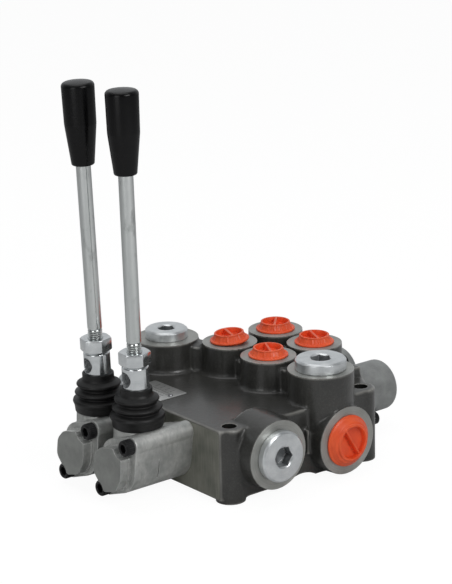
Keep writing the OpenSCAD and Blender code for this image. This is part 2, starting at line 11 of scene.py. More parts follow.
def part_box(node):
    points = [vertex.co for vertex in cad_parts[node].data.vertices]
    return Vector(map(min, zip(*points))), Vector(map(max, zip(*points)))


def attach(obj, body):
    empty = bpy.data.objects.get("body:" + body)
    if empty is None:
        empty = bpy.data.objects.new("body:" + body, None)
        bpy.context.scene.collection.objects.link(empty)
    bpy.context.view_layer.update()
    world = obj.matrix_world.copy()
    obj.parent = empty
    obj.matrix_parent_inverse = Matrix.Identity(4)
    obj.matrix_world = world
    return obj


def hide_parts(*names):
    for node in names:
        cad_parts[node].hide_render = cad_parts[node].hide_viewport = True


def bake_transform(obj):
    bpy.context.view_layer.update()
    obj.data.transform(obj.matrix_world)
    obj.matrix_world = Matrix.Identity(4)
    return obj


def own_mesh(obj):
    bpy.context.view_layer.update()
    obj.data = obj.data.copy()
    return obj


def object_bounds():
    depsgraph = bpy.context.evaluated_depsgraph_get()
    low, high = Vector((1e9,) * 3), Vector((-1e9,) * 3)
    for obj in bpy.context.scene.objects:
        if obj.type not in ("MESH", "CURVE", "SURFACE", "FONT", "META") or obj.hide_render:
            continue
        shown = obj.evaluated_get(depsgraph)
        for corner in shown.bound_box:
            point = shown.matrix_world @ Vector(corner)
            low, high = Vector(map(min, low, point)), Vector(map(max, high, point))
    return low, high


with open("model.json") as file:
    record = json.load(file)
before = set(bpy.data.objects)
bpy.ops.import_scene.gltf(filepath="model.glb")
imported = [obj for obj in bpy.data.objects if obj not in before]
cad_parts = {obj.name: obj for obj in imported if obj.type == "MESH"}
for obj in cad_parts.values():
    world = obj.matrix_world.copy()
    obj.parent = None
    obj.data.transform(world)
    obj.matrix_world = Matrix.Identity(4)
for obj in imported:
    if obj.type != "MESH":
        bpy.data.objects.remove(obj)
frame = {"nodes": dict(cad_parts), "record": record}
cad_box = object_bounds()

MM = 0.001
FULL = 2 * math.pi
FAR = 200
IDENTITY = Matrix.Identity(4)
PLANE_REACH = 0.08


# ---------- measures taken from the frame, in millimetres ----------


def lowest(node):
    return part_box(node)[0] / MM


def highest(node):
    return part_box(node)[1] / MM


def middle(node):
    return (lowest(node) + highest(node)) / 2


record = frame["record"]
joints = {j["name"]: j for j in record["behaviour"]["joints"]}
pivots = [Vector(joints[f"lever_swing_{i}"]["pos_m"]) / MM for i in (1, 2)]
lugs = [Vector(m["pos_m"]) / MM for m in record["mounts"] if m["kind"] == "bore"]
LUG_HOLE_R = record["mounts"][0]["dims"]["r_mm"]

DECK_Z = lowest("name_plate").z
BOSS_Z = highest("valve_body").z
FRONT_FACE_Y = lowest("valve_body").y
BACK_FACE_Y = highest("valve_body").y
LEFT_X = highest("lever_housing_1").x
REAR_X = lowest("rear_cap_1").x
SPOOL_Z = middle("spool_1").z
STATION_Y = [middle("spool_1").y, middle("spool_2").y]
ROW_X = [middle("port_cap_a1").x, middle("port_cap_b1").x]
TOP_FRONT = middle("top_plug_front")
TOP_BACK = middle("top_plug_back")
FRONT_1 = middle("front_plug")
FRONT_2 = middle("front_port_cap")
BACK_PORT = middle("back_port_cap")
RELIEF = middle("relief_cartridge")
WORK_PORTS = [(x, y) for x in ROW_X for y in STATION_Y]

UNDER_Z = 2.5
LUG_R = 9
WORK_BOSS_R = 17.6
TOP_BOSS_R = 21
FRONT_BOSS_R = 21.6
RING_STEP = 0.3
ARCH_X, ARCH_Z, ARCH_R = 49.5, 6.2, 22
ARCH_DEPTH_Y = 8
BACK_BOSS_R = 20
RELIEF_BOSS_R = 14
HALF_INCH_R = 9.4
THREE_QUARTER_R = 12.1
HOUSING_EARS = [(-15, 15), (10.5, -17.6)]
CAP_EARS = [(14.5, 16.5), (-15.2, -15.2)]


# ---------- placing ----------


def shift(x, y, z=0):
    return Matrix.Translation((x, y, z))


def along(axis, at):
    """Matrix that takes local +Z to axis and the local origin to at, in millimetres."""
    turn = Vector((0, 0, 1)).rotation_difference(Vector(axis)).to_matrix().to_4x4()
    return Matrix.Translation(Vector(at)) @ turn


def yz_plane(x, y, z):
    """Local X to +Y, local Y to +Z and local Z to +X: for outlines seen from the lever end."""
    return Matrix(((0, 0, 1, x), (1, 0, 0, y), (0, 1, 0, z), (0, 0, 0, 1)))


def spool_line(y, dy=0, dz=0):
    """Local +Z along +X, beside a spool's axis by dy and dz, so that local z is the frame's x."""
    return along((1, 0, 0), (0, y + dy, SPOOL_Z + dz))


def out_of_face(port, face_y, way):
    """Local +Z along way times Y, with the origin where the port's axis meets that face."""
    return along((0, way, 0), (port.x, face_y, port.z))


def turned_by(place, degrees):
    return place @ Matrix.Rotation(math.radians(degrees), 4, "Z")


# ---------- outlines and profiles ----------


def arc(centre, radius, start, end, steps=12):
    """Points on an arc, with angles in degrees."""
    turns = [math.radians(start + (end - start) * k / steps) for k in range(steps + 1)]
    return [(centre[0] + radius * math.cos(t), centre[1] + radius * math.sin(t)) for t in turns]


def rounded(corners, steps=5):
    """A path whose corners are (x, y) or (x, y, fillet radius), with the fillets drawn as arcs."""
    path = []
    for i, corner in enumerate(corners):
        here = Vector(corner[:2])
        fillet = corner[2] if len(corner) > 2 else 0
        if not fillet or i in (0, len(corners) - 1):
            path.append(tuple(here))
            continue
        before = Vector(corners[i - 1][:2]) - here
        after = Vector(corners[i + 1][:2]) - here
        half = before.angle(after) / 2
        reach = min(fillet / math.tan(half), 0.49 * before.length, 0.49 * after.length)
        radius = reach * math.tan(half)
        inward = (before.normalized() + after.normalized()).normalized()
        centre = here + inward * (radius / math.sin(half))
        first = here + before.normalized() * reach - centre
        last = here + after.normalized() * reach - centre
        swing = math.atan2(first.x * last.y - first.y * last.x, first.dot(last))
        for k in range(steps + 1):
            turn = Matrix.Rotation(swing * k / steps, 2)
            path.append(tuple(centre + turn @ first))
    return path


def thread(start, end, pitch, *groove):
    """Profile of a thread: each turn is the groove, given as pairs of radius and rise."""
    points, z = [], start
    while z < end:
        points += [(radius, z + rise) for radius, rise in groove]
        z += pitch
    return points


def eared(radius_a, radius_b, ear, ears):
    """Taut outline round a barrel and two ears, with a different barrel radius each side of them."""
    (px, py), (qx, qy) = ears
    p_dir, q_dir = math.degrees(math.atan2(py, px)), math.degrees(math.atan2(qy, qx)) + 360
    p_len, q_len = math.hypot(px, py), math.hypot(qx, qy)

    def lean(barrel, length):
        return math.degrees(math.acos((barrel - ear) / length))

    pa, pb = lean(radius_a, p_len), lean(radius_b, p_len)
    qa, qb = lean(radius_a, q_len), lean(radius_b, q_len)
    return (
        arc((px, py), ear, p_dir - pb, p_dir + pa)
        + arc((0, 0), radius_a, p_dir + pa, q_dir - qa, 20)
        + arc((qx, qy), ear, q_dir - qa, q_dir + qb)
        + arc((0, 0), radius_b, q_dir + qb, p_dir + 360 - pb, 20)
    )


def scaled(outline, factor):
    return [(x * factor, y * factor) for x, y in outline]


# ---------- mesh building ----------


def bridge(bm, low, high):
    """Joins two rings of vertices. Either of them can be a single point."""
    count = max(len(low), len(high))
    if count == 1:
        return
    for k in range(count):
        n = (k + 1) % count
        if len(low) == 1:
            bm.faces.new((low[0], high[n], high[k]))
        elif len(high) == 1:
            bm.faces.new((low[k], low[n], high[0]))
        else:
            bm.faces.new((low[k], low[n], high[n], high[k]))


def add_prism(bm, outline, z0, z1, place=IDENTITY):
    """Closed prism of an outline in the local XY plane."""
    low = [bm.verts.new(place @ Vector((x, y, z0))) for x, y in outline]
    high = [bm.verts.new(place @ Vector((x, y, z1))) for x, y in outline]
    bm.faces.new(list(reversed(low)))
    bm.faces.new(high)
    bridge(bm, low, high)


def add_lathe(bm, profile, place=IDENTITY, sides=96, closed=False, shape=None):
    """Turned solid from a list of (radius, z). closed joins its two ends. Returns its rings."""
    rings = []
    for radius, z in profile:
        if radius < 1e-6:
            rings.append([bm.verts.new(place @ Vector((0, 0, z)))])
            continue
        ring = []
        for k in range(sides):
            t = FULL * k / sides
            r = shape(t, radius, z) if shape else radius
            ring.append(bm.verts.new(place @ Vector((r * math.cos(t), r * math.sin(t), z))))
        rings.append(ring)
    for low, high in list(zip(rings, rings[1:])) + ([(rings[-1], rings[0])] if closed else []):
        bridge(bm, low, high)
    return rings


def add_cone(bm, r0, r1, z0, z1, place=IDENTITY, sides=96):
    add_lathe(bm, [(0, z0), (r0, z0), (r1, z1), (0, z1)], place, sides)


def lathed(profile, place=IDENTITY, sides=96):
    """A new mesh with one turned solid in it."""
    bm = bmesh.new()
    add_lathe(bm, profile, place, sides)
    return bm


def drum(radius, z0, z1, place=IDENTITY, sides=96):
    return lathed([(0, z0), (radius, z0), (radius, z1), (0, z1)], place, sides)


def hex_corner(flats):
    return flats / math.sqrt(3)


def add_hexagon(bm, flats, z0, z1, turn=0):
    radius = hex_corner(flats)
    turns = [turn + FULL * k / 6 for k in range(6)]
    add_prism(bm, [(radius * math.cos(t), radius * math.sin(t)) for t in turns], z0, z1)


def add_box(bm, low, high):
    outline = [(low[0], low[1]), (high[0], low[1]), (high[0], high[1]), (low[0], high[1])]
    add_prism(bm, outline, low[2], high[2])


def finish_mesh(bm, name, crease=None):
    """Object from a bmesh in millimetres. crease is the angle above which an edge stays sharp."""
    bmesh.ops.recalc_face_normals(bm, faces=bm.faces)
    bmesh.ops.scale(bm, vec=(MM, MM, MM), verts=bm.verts)
    mesh = bpy.data.meshes.new(name)
    bm.to_mesh(mesh)
    bm.free()
    piece = bpy.data.objects.new(name, mesh)
    bpy.context.scene.collection.objects.link(piece)
    if crease:
        shade(piece, crease)
    return piece


def shade(piece, crease):
    piece.data.shade_smooth()
    piece.data.set_sharp_from_angle(angle=math.radians(crease))


def apply(piece, kind, **settings):
    """Puts one modifier on the piece and makes it real."""
    modifier = piece.modifiers.new(kind, kind)
    for key, value in settings.items():
        setattr(modifier, key, value)
    bpy.context.view_layer.update()
    graph = bpy.context.evaluated_depsgraph_get()
    mesh = bpy.data.meshes.new_from_object(piece.evaluated_get(graph))
    piece.modifiers.clear()
    old = piece.data
    piece.data = mesh
    bpy.data.meshes.remove(old)
    return piece


def combine(piece, tool_bm, operation="DIFFERENCE"):
    """Cuts the tool out of the piece, or adds it, and throws the tool away."""
    tool = finish_mesh(tool_bm, "tool")
    apply(piece, "BOOLEAN", object=tool, operation=operation, solver="MANIFOLD")
    bpy.data.objects.remove(tool)
    return piece


def drill(piece, profile, places, sides):
    """Cuts one turned shape at each of the places."""
    bm = bmesh.new()
    for place in places:
        add_lathe(bm, profile, place, sides)
    combine(piece, bm)


def cut_box(piece, low, high):
    bm = bmesh.new()
    add_box(bm, low, high)
    combine(piece, bm)


def hex_body(name, flats, z0, z1, trim, sides, turn=0):
    """Hexagon bar from z0 to z1, with its corners turned down to the trim profile."""
    bm = bmesh.new()
    add_hexagon(bm, flats, z0, z1, turn)
    return combine(finish_mesh(bm, name), lathed(trim, sides=sides), "INTERSECT")


def soften(piece, width, segments, angle):
    """Rounds the edges that turn by more than angle."""
    return apply(
        piece, "BEVEL", width=width * MM, segments=segments,
        limit_method="ANGLE", angle_limit=math.radians(angle), harden_normals=False,
    )


def cast_from(bm, name, voxel, passes):
    """Joins overlapping solids into one skin and lets it flow, as a casting does at its corners."""
    piece = finish_mesh(bm, name)
    apply(piece, "REMESH", mode="VOXEL", voxel_size=voxel * MM, use_smooth_shade=True)
    apply(piece, "SMOOTH", factor=0.5, iterations=passes)
    return piece


def face_values(piece):
    """Face centres in millimetres and face normals, as arrays."""
    count = len(piece.data.polygons)
    centres = np.zeros(count * 3)
    normals = np.zeros(count * 3)
    piece.data.polygons.foreach_get("center", centres)
    piece.data.polygons.foreach_get("normal", normals)
    return centres.reshape(-1, 3) / MM, normals.reshape(-1, 3)


def set_hub(piece, hub_of):
    """Stores on each face the centre, in metres, that its turning marks run round."""
    centres, _ = face_values(piece)
    layer = piece.data.attributes.new("hub", "FLOAT_VECTOR", "FACE")
    values = np.array([hub_of(c) for c in centres], np.float32) * MM
    layer.data.foreach_set("vector", values.ravel())


def same_hub(piece, at):
    """One hub for all faces of a piece that is turned about a single axis."""
    layer = piece.data.attributes.new("hub", "FLOAT_VECTOR", "FACE")
    values = np.tile(np.array(at, np.float32) * MM, len(piece.data.polygons))
    layer.data.foreach_set("vector", values)


def move(piece, place):
    """Takes a piece from its own axes to its place, which is in millimetres."""
    piece.data.transform(Matrix.Scale(MM, 4) @ place @ Matrix.Scale(1 / MM, 4))


def settle(piece, place, crease):
    move(piece, place)
    shade(piece, crease)
    same_hub(piece, place.translation)


def off_axis(centres, across, x, y):
    """Distance of each face centre from an axis, seen in the plane of the two other axes."""
    return np.hypot(centres[:, across[0]] - x, centres[:, across[1]] - y)


def facing(piece, axis, level, way):
    """Faces in the plane where that axis is at level, looking along way times the axis."""
    centres, normals = face_values(piece)
    return (np.abs(centres[:, axis] - level) < PLANE_REACH) & (way * normals[:, axis] > 0.99)


def dress(piece, looks, body, node):
    """Gives the piece its materials and its body, and hides the CAD node it stands for."""
    piece.data.materials.clear()
    for look in looks:
        piece.data.materials.append(LOOK[look])
    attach(piece, body)
    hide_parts(node)


def show_looks(piece, index):
    """Sets which of its materials each face shows."""
    piece.data.polygons.foreach_set("material_index", index.astype(np.int32))


# ---------- materials ----------


def linear(red, green, blue):
    """Screen colour, 0 to 255, as the linear colour that the shaders want."""
    parts = [c / 255 for c in (red, green, blue)]
    return tuple(c / 12.92 if c < 0.04 else ((c + 0.055) / 1.055) ** 2.4 for c in parts) + (1,)


class Nodes:
    """A shader tree made by short calls."""

    def __init__(self, tree):
        self.tree = tree
        self.tree.nodes.clear()

    def make(self, kind, values=(), **settings):
        node = self.tree.nodes.new(kind)
        for key, value in settings.items():
            setattr(node, key, value)
        for key, value in dict(values).items():
            if isinstance(value, bpy.types.NodeSocket):
                self.tree.links.new(value, node.inputs[key])
            else:
                node.inputs[key].default_value = value
        return node

    def math(self, operation, a, b):
        return self.make("ShaderNodeMath", {0: a, 1: b}, operation=operation).outputs[0]

    def vector(self, operation, a, b=(0, 0, 0), output="Vector"):
        return self.make("ShaderNodeVectorMath", {0: a, 1: b}, operation=operation).outputs[output]

    def spread(self, value, low, high, to_low=0.0, to_high=1.0):
        settings = {"Value": value, "From Min": low, "From Max": high, "To Min": to_low, "To Max": to_high}
        return self.make("ShaderNodeMapRange", settings, clamp=True).outputs[0]

    def vary(self, noise_value, low, high):
        """The middle range of a noise, spread from low to high."""
        return self.spread(noise_value, 0.3, 0.7, low, high)

    def mix_shaders(self, share, first, second):
        return self.make("ShaderNodeMixShader", {0: share, 1: first, 2: second}).outputs[0]


class Finish(Nodes):
    """A material. Its methods return sockets, and done() makes the shader."""

    def __init__(self, name):
        self.material = bpy.data.materials.new(name)
        self.material.use_nodes = True
        super().__init__(self.material.node_tree)
        self.place = self.make("ShaderNodeTexCoord").outputs["Object"]
        self.colour = self.bump = None

    def noise(self, size, detail=3, rough=0.5, stretch=(1, 1, 1), distortion=0):
        """Noise whose features are about size millimetres."""
        scaled = self.make("ShaderNodeMapping", {"Vector": self.place, "Scale": stretch}).outputs[0]
        settings = {"Vector": scaled, "Scale": 1 / (size * MM), "Detail": detail,
                    "Roughness": rough, "Distortion": distortion}
        return self.make("ShaderNodeTexNoise", settings).outputs["Fac"]

    def cells(self, size):
        settings = {"Vector": self.place, "Scale": 1 / (size * MM), "Randomness": 1.0}
        return self.make("ShaderNodeTexVoronoi", settings, feature="F1").outputs["Distance"]

    def blend(self, share, a, b):
        """Mix of two colours, each a socket or a screen colour from 0 to 255."""
        a, b = (c if isinstance(c, bpy.types.NodeSocket) else linear(*c) for c in (a, b))
        return self.make("ShaderNodeMix", {0: share, 6: a, 7: b}, data_type="RGBA").outputs[2]

    def base(self, share, dark, light):
        self.colour = self.blend(share, dark, light)

    def over(self, share, tint):
        """Lays a tint over the colour so far."""
        self.colour = self.blend(share, self.colour, tint)

    def edges(self, low, high):
        """Share that is 1 on sharp outer edges."""
        return self.spread(self.make("ShaderNodeNewGeometry").outputs["Pointiness"], low, high)

    def corners(self, radius, low=0.02, high=0.2):
        """Share that is 1 close to the sharp edges of a piece with large flat faces. The materials use it to
        paint edge highlights.
        """
        soft = self.make("ShaderNodeBevel", {"Radius": radius * MM}, samples=6).outputs[0]
        hard = self.make("ShaderNodeNewGeometry").outputs["Normal"]
        same = self.vector("DOT_PRODUCT", soft, hard, "Value")
        return self.spread(self.math("SUBTRACT", 1.0, same), low, high)

    def add_bump(self, height, depth):
        """Height field in units of depth millimetres, stacked on the bumps before it."""
        settings = {"Height": height, "Distance": depth * MM, "Strength": 1.0}
        if self.bump:
            settings["Normal"] = self.bump
        self.bump = self.make("ShaderNodeBump", settings).outputs[0]

    def grain(self, size, depth):
        self.add_bump(self.noise(size, 2), depth)

    def round_edges(self, radius):
        self.bump = self.make("ShaderNodeBevel", {"Radius": radius * MM}, samples=4).outputs[0]

    def hub_arm(self):
        """From the hub of each face to the point that is shaded."""
        hub = self.make("ShaderNodeAttribute", attribute_name="hub", attribute_type="GEOMETRY")
        return self.vector("SUBTRACT", self.place, hub.outputs["Vector"])

    def turned(self, pitch):
        """Rings round the hub axis of each face: distance from the hub across the face normal."""
        normal = self.make("ShaderNodeNewGeometry").outputs["True Normal"]
        across = self.vector("CROSS_PRODUCT", self.hub_arm(), normal)
        radius = self.vector("LENGTH", across, output="Value")
        settings = {"W": radius, "Scale": 1 / (pitch * MM), "Detail": 3.0, "Roughness": 0.7}
        return self.make("ShaderNodeTexNoise", settings, noise_dimensions="1D").outputs["Fac"]

    def done(self, roughness, metallic=0.0, coat=0.0, coat_rough=0.1, specular=0.5, turned_gloss=0.0):
        settings = {"Base Color": self.colour, "Roughness": roughness, "Metallic": metallic,
                    "Coat Weight": coat, "Coat Roughness": coat_rough, "Specular IOR Level": specular,
                    "Anisotropic": turned_gloss}
        if turned_gloss:
            settings["Tangent"] = self.hub_arm()
        if self.bump:
            settings["Normal"] = self.bump
        return self.show(self.make("ShaderNodeBsdfPrincipled", settings).outputs[0])

    def show(self, shader):
        self.make("ShaderNodeOutputMaterial", {"Surface": shader})
        return self.material


def painted_casting():
    f = Finish("painted_casting")
    clouds = f.noise(28, 4, 0.6)
    grain = f.noise(1.1, 3, 0.6)
    f.base(f.spread(clouds, 0.35, 0.68), (43, 43, 41), (57, 57, 54))
    f.over(f.spread(grain, 0.5, 0.75, 0, 0.35), (84, 84, 81))
    # lighter paint on sharp outer edges, in patches: partly real paint wear, partly a painted highlight
    # along the edges
    wear_and_highlight = f.math("MULTIPLY", f.edges(0.508, 0.545), f.spread(clouds, 0.3, 0.6, 0.4, 1.0))
    f.over(wear_and_highlight, (150, 149, 144))
    f.round_edges(0.35)
    f.add_bump(grain, 0.07)
    f.add_bump(f.noise(5, 3, 0.55), 0.22)
    f.add_bump(f.spread(f.cells(1.7), 0.0, 0.35), 0.03)
    rough = f.vary(grain, 0.32, 0.46)
    return f.done(rough, coat=0.45, coat_rough=0.18)


def machined_iron():
    f = Finish("machined_iron")
    rings = f.turned(0.7)
    clouds = f.noise(9, 3)
    f.base(rings, (150, 151, 147), (200, 201, 197))
    f.over(f.spread(clouds, 0.4, 0.7, 0, 0.4), (140, 141, 135))
    # painted highlight: a lighter colour along the sharp edges
    f.over(f.corners(0.35), (226, 227, 224))
    f.round_edges(0.3)
    f.add_bump(rings, 0.012)
    rough = f.vary(rings, 0.34, 0.48)
    return f.done(rough, metallic=0.8, turned_gloss=0.75)


def milled_end():
    f = Finish("milled_end")
    streaks = f.noise(1.2, 3, 0.6, stretch=(1, 1, 0.08))
    clouds = f.noise(24, 3)
    f.base(f.spread(clouds, 0.35, 0.65), (108, 109, 101), (144, 144, 134))
    f.over(f.spread(streaks, 0.45, 0.7, 0, 0.3), (158, 158, 148))
    f.round_edges(0.35)
    f.add_bump(streaks, 0.012)
    return f.done(0.4, metallic=0.35)


def die_cast():
    f = Finish("die_cast")
    clouds = f.noise(14, 4, 0.6)
    flow = f.noise(3.2, 4, 0.65, stretch=(1, 1, 0.45), distortion=0.4)
    f.base(f.spread(clouds, 0.35, 0.65), (166, 168, 166), (206, 207, 204))
    f.over(f.spread(flow, 0.45, 0.7, 0, 0.5), (150, 152, 150))
    # painted highlight: a lighter colour along the sharp edges
    f.over(f.corners(0.5), (232, 233, 231))
    f.round_edges(0.3)
    f.add_bump(flow, 0.03)
    f.grain(0.7, 0.02)
    rough = f.vary(flow, 0.44, 0.6)
    return f.done(rough, metallic=0.72)


def blasted_alloy(name="blasted_alloy", dark=(144, 146, 145), light=(168, 170, 169)):
    f = Finish(name)
    clouds = f.noise(11, 4, 0.6)
    sand = f.noise(0.5, 2, 0.6)
    f.base(f.spread(clouds, 0.35, 0.7), dark, light)
    f.over(f.spread(sand, 0.5, 0.8, 0, 0.3), [c + 30 for c in light])
    # painted highlight: a lighter colour along the sharp edges
    f.over(f.corners(0.5), (216, 217, 215))
    f.round_edges(0.3)
    f.add_bump(sand, 0.012)
    return f.done(f.vary(sand, 0.46, 0.58), metallic=0.55)


def zinc_plate(name="zinc_plate", dark=(212, 216, 218), light=(232, 235, 236), gloss=(0.32, 0.42),
               metallic=0.88):
    f = Finish(name)
    rings = f.turned(0.45)
    clouds = f.noise(6, 4, 0.6)
    f.base(f.spread(clouds, 0.35, 0.7), dark, light)
    f.over(f.spread(rings, 0.5, 0.8, 0, 0.3), [c - 26 for c in dark])
    # painted highlight: a lighter colour along the sharp edges
    f.over(f.corners(0.3), (250, 251, 251))
    f.round_edges(0.25)
    f.add_bump(rings, 0.0018)
    f.grain(0.8, 0.0015)
    rough = f.vary(clouds, *gloss)
    return f.done(rough, metallic=metallic, turned_gloss=0.5)


def plated_bar():
    f = Finish("plated_bar")
    streaks = f.noise(3.5, 2, 0.5, stretch=(1, 1, 0.02))
    smudge = f.noise(7, 4, 0.65, stretch=(1, 1, 0.4))
    clouds = f.noise(10, 3)
    f.base(f.spread(streaks, 0.35, 0.65), (200, 204, 203), (224, 227, 226))
    f.over(f.spread(smudge, 0.56, 0.72, 0, 0.55), (132, 135, 134))
    f.grain(0.8, 0.001)
    return f.done(f.vary(clouds, 0.16, 0.24), metallic=1.0)


def black_oxide():
    f = Finish("black_oxide")
    clouds = f.noise(2.5, 4, 0.6)
    f.base(clouds, (22, 22, 23), (36, 36, 37))
    f.over(f.edges(0.52, 0.6), (70, 71, 72))
    f.round_edges(0.2)
    f.grain(0.4, 0.006)
    return f.done(f.vary(clouds, 0.3, 0.46), metallic=0.6)


def moulded_rubber():
    f = Finish("moulded_rubber")
    clouds = f.noise(12, 4, 0.6)
    dust = f.noise(0.9, 3, 0.7)
    f.base(clouds, (16, 16, 16), (23, 23, 23))
    f.over(f.spread(dust, 0.6, 0.8, 0, 0.3), (56, 55, 54))
    f.grain(0.5, 0.008)
    return f.done(f.vary(clouds, 0.4, 0.55), specular=0.4)


def knob_gloss():
    f = Finish("knob_gloss")
    clouds = f.noise(15, 3)
    f.base(clouds, (10, 10, 11), (16, 16, 17))
    f.grain(3.5, 0.008)
    return f.done(f.vary(clouds, 0.22, 0.3), specular=0.22)


def orange_plastic():
    f = Finish("orange_plastic")
    clouds = f.noise(9, 3)
    f.base(f.spread(clouds, 0.3, 0.7), (234, 84, 42), (247, 101, 56))
    # painted highlight: a paler orange along the sharp edges and rims
    f.over(f.corners(0.4, 0.02, 0.3), (252, 146, 104))
    f.grain(0.6, 0.006)
    rough = f.vary(f.noise(2, 3), 0.32, 0.44)
    return f.done(rough, specular=0.4)


def brushed_plate():
    f = Finish("brushed_plate")
    streaks = f.noise(0.5, 3, 0.6, stretch=(0.03, 1, 1))
    clouds = f.noise(8, 3)
    f.base(streaks, (176, 177, 176), (214, 214, 212))
    f.over(f.spread(clouds, 0.5, 0.8, 0, 0.3), (150, 150, 148))
    f.add_bump(streaks, 0.004)
    return f.done(0.36, metallic=0.8)


def ground_steel():
    f = Finish("ground_steel")
    streaks = f.noise(0.6, 3, 0.6, stretch=(1, 0.1, 0.1))
    f.base(streaks, (150, 151, 153), (186, 187, 189))
    f.add_bump(streaks, 0.003)
    return f.done(f.vary(streaks, 0.22, 0.36), metallic=1.0)


def clouded(name, size, dark, light, grain, depth, roughness):
    """Simple material: two close colours in soft clouds, and a fine grain."""
    f = Finish(name)
    f.base(f.noise(size, 3), dark, light)
    f.grain(grain, depth)
    return f.done(roughness)


def pale_floor():
    """Floor that the camera sees almost white with faint shadows. It lights the object as grey paper."""
    f = Finish("pale_floor")
    colour = f.blend(f.noise(300, 3), (212, 212, 212), (218, 218, 218))
    paper = f.make("ShaderNodeBsdfDiffuse", {"Color": colour}).outputs[0]
    white = f.make("ShaderNodeEmission", {"Color": (1, 1, 1, 1), "Strength": 1.1}).outputs[0]
    seen = f.make("ShaderNodeLightPath").outputs["Is Camera Ray"]
    return f.show(f.mix_shaders(f.math("MULTIPLY", seen, 0.86), paper, white))


LOOK = {
    "paint": painted_casting(),
    # near-black iron for the walls of the lug holes: painted shade
    "bore": clouded("bore_painted_shade", 6, (20, 20, 19), (32, 32, 30), 0.6, 0.01, 0.45),
    "machined": machined_iron(),
    "milled": milled_end(),
    "alloy": die_cast(),
    "blasted": blasted_alloy(),
    "faced": blasted_alloy("faced_alloy", (140, 142, 139), (158, 160, 157)),
    "zinc": zinc_plate(),
    "nut": zinc_plate("nut_zinc", gloss=(0.14, 0.2), metallic=0.94),
    # darker, duller zinc for the faces inside sockets and holes: painted shade
    "pocket": zinc_plate("zinc_pocket_shade", (122, 125, 127), (152, 155, 157), (0.55, 0.65)),
    "bar": plated_bar(),
    "black": black_oxide(),
    "boot": moulded_rubber(),
    "seal": clouded("seal_rubber", 3, (22, 22, 22), (34, 34, 34), 0.4, 0.01, 0.5),
    "knob": knob_gloss(),
    "orange": orange_plastic(),
    "plate": brushed_plate(),
    "print": clouded("printed_grey", 1.5, (82, 82, 80), (110, 110, 108), 0.5, 0.005, 0.5),
    "steel": ground_steel(),
    "nylon": clouded("nylon", 4, (222, 220, 208), (234, 232, 222), 0.8, 0.02, 0.5),
    "floor": pale_floor(),
}
CAD_LOOK = {
    "body": "paint", "spool": "steel", "steel_part": "steel", "zinc": "zinc", "lever_steel": "bar",
    "alloy": "alloy", "black_screw": "black", "boot": "boot", "seal": "seal", "knob": "knob",
    "orange_cap": "orange", "ring": "nylon", "plate": "plate",
}


# ---------- the valve casting ----------


def block_outline():
    wall, back = -8.5, lugs[2].y + LUG_R
    return [
        (LEFT_X, -4), (0, wall), (lugs[1].x, wall), (REAR_X - 4, wall + 14), (REAR_X, 12),
        (REAR_X, 110), (lugs[1].x, back), (30, back), (LEFT_X, 98),
    ]


def add_web(bm, start, end, width, top):
    """Upright wall between two bosses."""
    run = Vector((end[0] - start[0], end[1] - start[1]))
    side = Vector((-run.y, run.x)).normalized() * (width / 2)
    a, b = Vector(start[:2]), Vector(end[:2])
    outline = [tuple(p) for p in (a - side, b - side, b + side, a + side)]
    add_prism(bm, outline, 30, top)


def cast_shapes():
    """Rough solids of the casting, with material left on where a face is machined."""
    bm = bmesh.new()
    spare = 2
    add_prism(bm, block_outline(), UNDER_Z, DECK_Z)
    for lug in lugs:
        add_cone(bm, LUG_R + 0.2, LUG_R + 0.1, -spare, DECK_Z, Matrix.Translation(lug))
    for x, y in WORK_PORTS:
        here = shift(x, y)
        add_cone(bm, WORK_BOSS_R + 0.7, WORK_BOSS_R + 0.1, 30, BOSS_Z + spare, here)
        add_cone(bm, WORK_BOSS_R + 3.2, WORK_BOSS_R - 0.5, DECK_Z - 1, DECK_Z + 2.6, here)
    for port, flare in ((TOP_FRONT, 0), (TOP_BACK, 2.8)):
        here = shift(port.x, port.y)
        add_cone(bm, TOP_BOSS_R - 0.25, TOP_BOSS_R - 0.25, 30, BOSS_Z + spare, here)
        if flare:
            add_cone(bm, TOP_BOSS_R + flare, TOP_BOSS_R - 0.5, DECK_Z - 1, DECK_Z + 2.4, here)
    (row_a, row_b), (front_row, back_row) = ROW_X, STATION_Y
    for start, end, width, below_top in (
        ((row_a, front_row), (row_a, back_row), 16, 7),
        ((row_b, front_row), (row_b, back_row), 16, 7),
        ((row_a, front_row), (row_b, front_row), 16, 7),
        ((row_a, back_row), (row_b, back_row), 16, 7),
        (TOP_BACK, (row_a, back_row), 17, 3),
        (TOP_FRONT, (row_a, front_row), 16, 4),
        (TOP_FRONT, (row_b, front_row), 14, 10),
    ):
        add_web(bm, start, end, width, BOSS_Z - below_top)
    add_box(bm, (row_b, 14, UNDER_Z), (REAR_X, 98, BOSS_Z - 13))
    wall = 5.5
    for port in (FRONT_1, FRONT_2):
        here = out_of_face(port, FRONT_FACE_Y, 1)
        add_cone(bm, FRONT_BOSS_R + 0.1, FRONT_BOSS_R + 1.7, -spare, wall - FRONT_FACE_Y, here)
    for port, radius in ((BACK_PORT, BACK_BOSS_R), (RELIEF, RELIEF_BOSS_R)):
        add_cone(bm, radius + 0.1, radius + 1.7, -spare, 20, out_of_face(port, BACK_FACE_Y, -1))
    # upright rib between the two front ports
    add_box(bm, (51.8, -11.8, 18.5), (53.6, -6, 34.5))
    return bm


def stepped_port(bm, radius, depth, pilot, pilot_depth, place):
    """Port cutter with its mouth at local z = 0, pointing up."""
    profile = [
        (0, -pilot_depth), (pilot, -pilot_depth), (pilot, -depth), (radius, -depth),
        (radius, -1), (radius + 1.0, 0.02), (radius + 1.0, 3), (0, 3),
    ]
    add_lathe(bm, profile, place, 72)


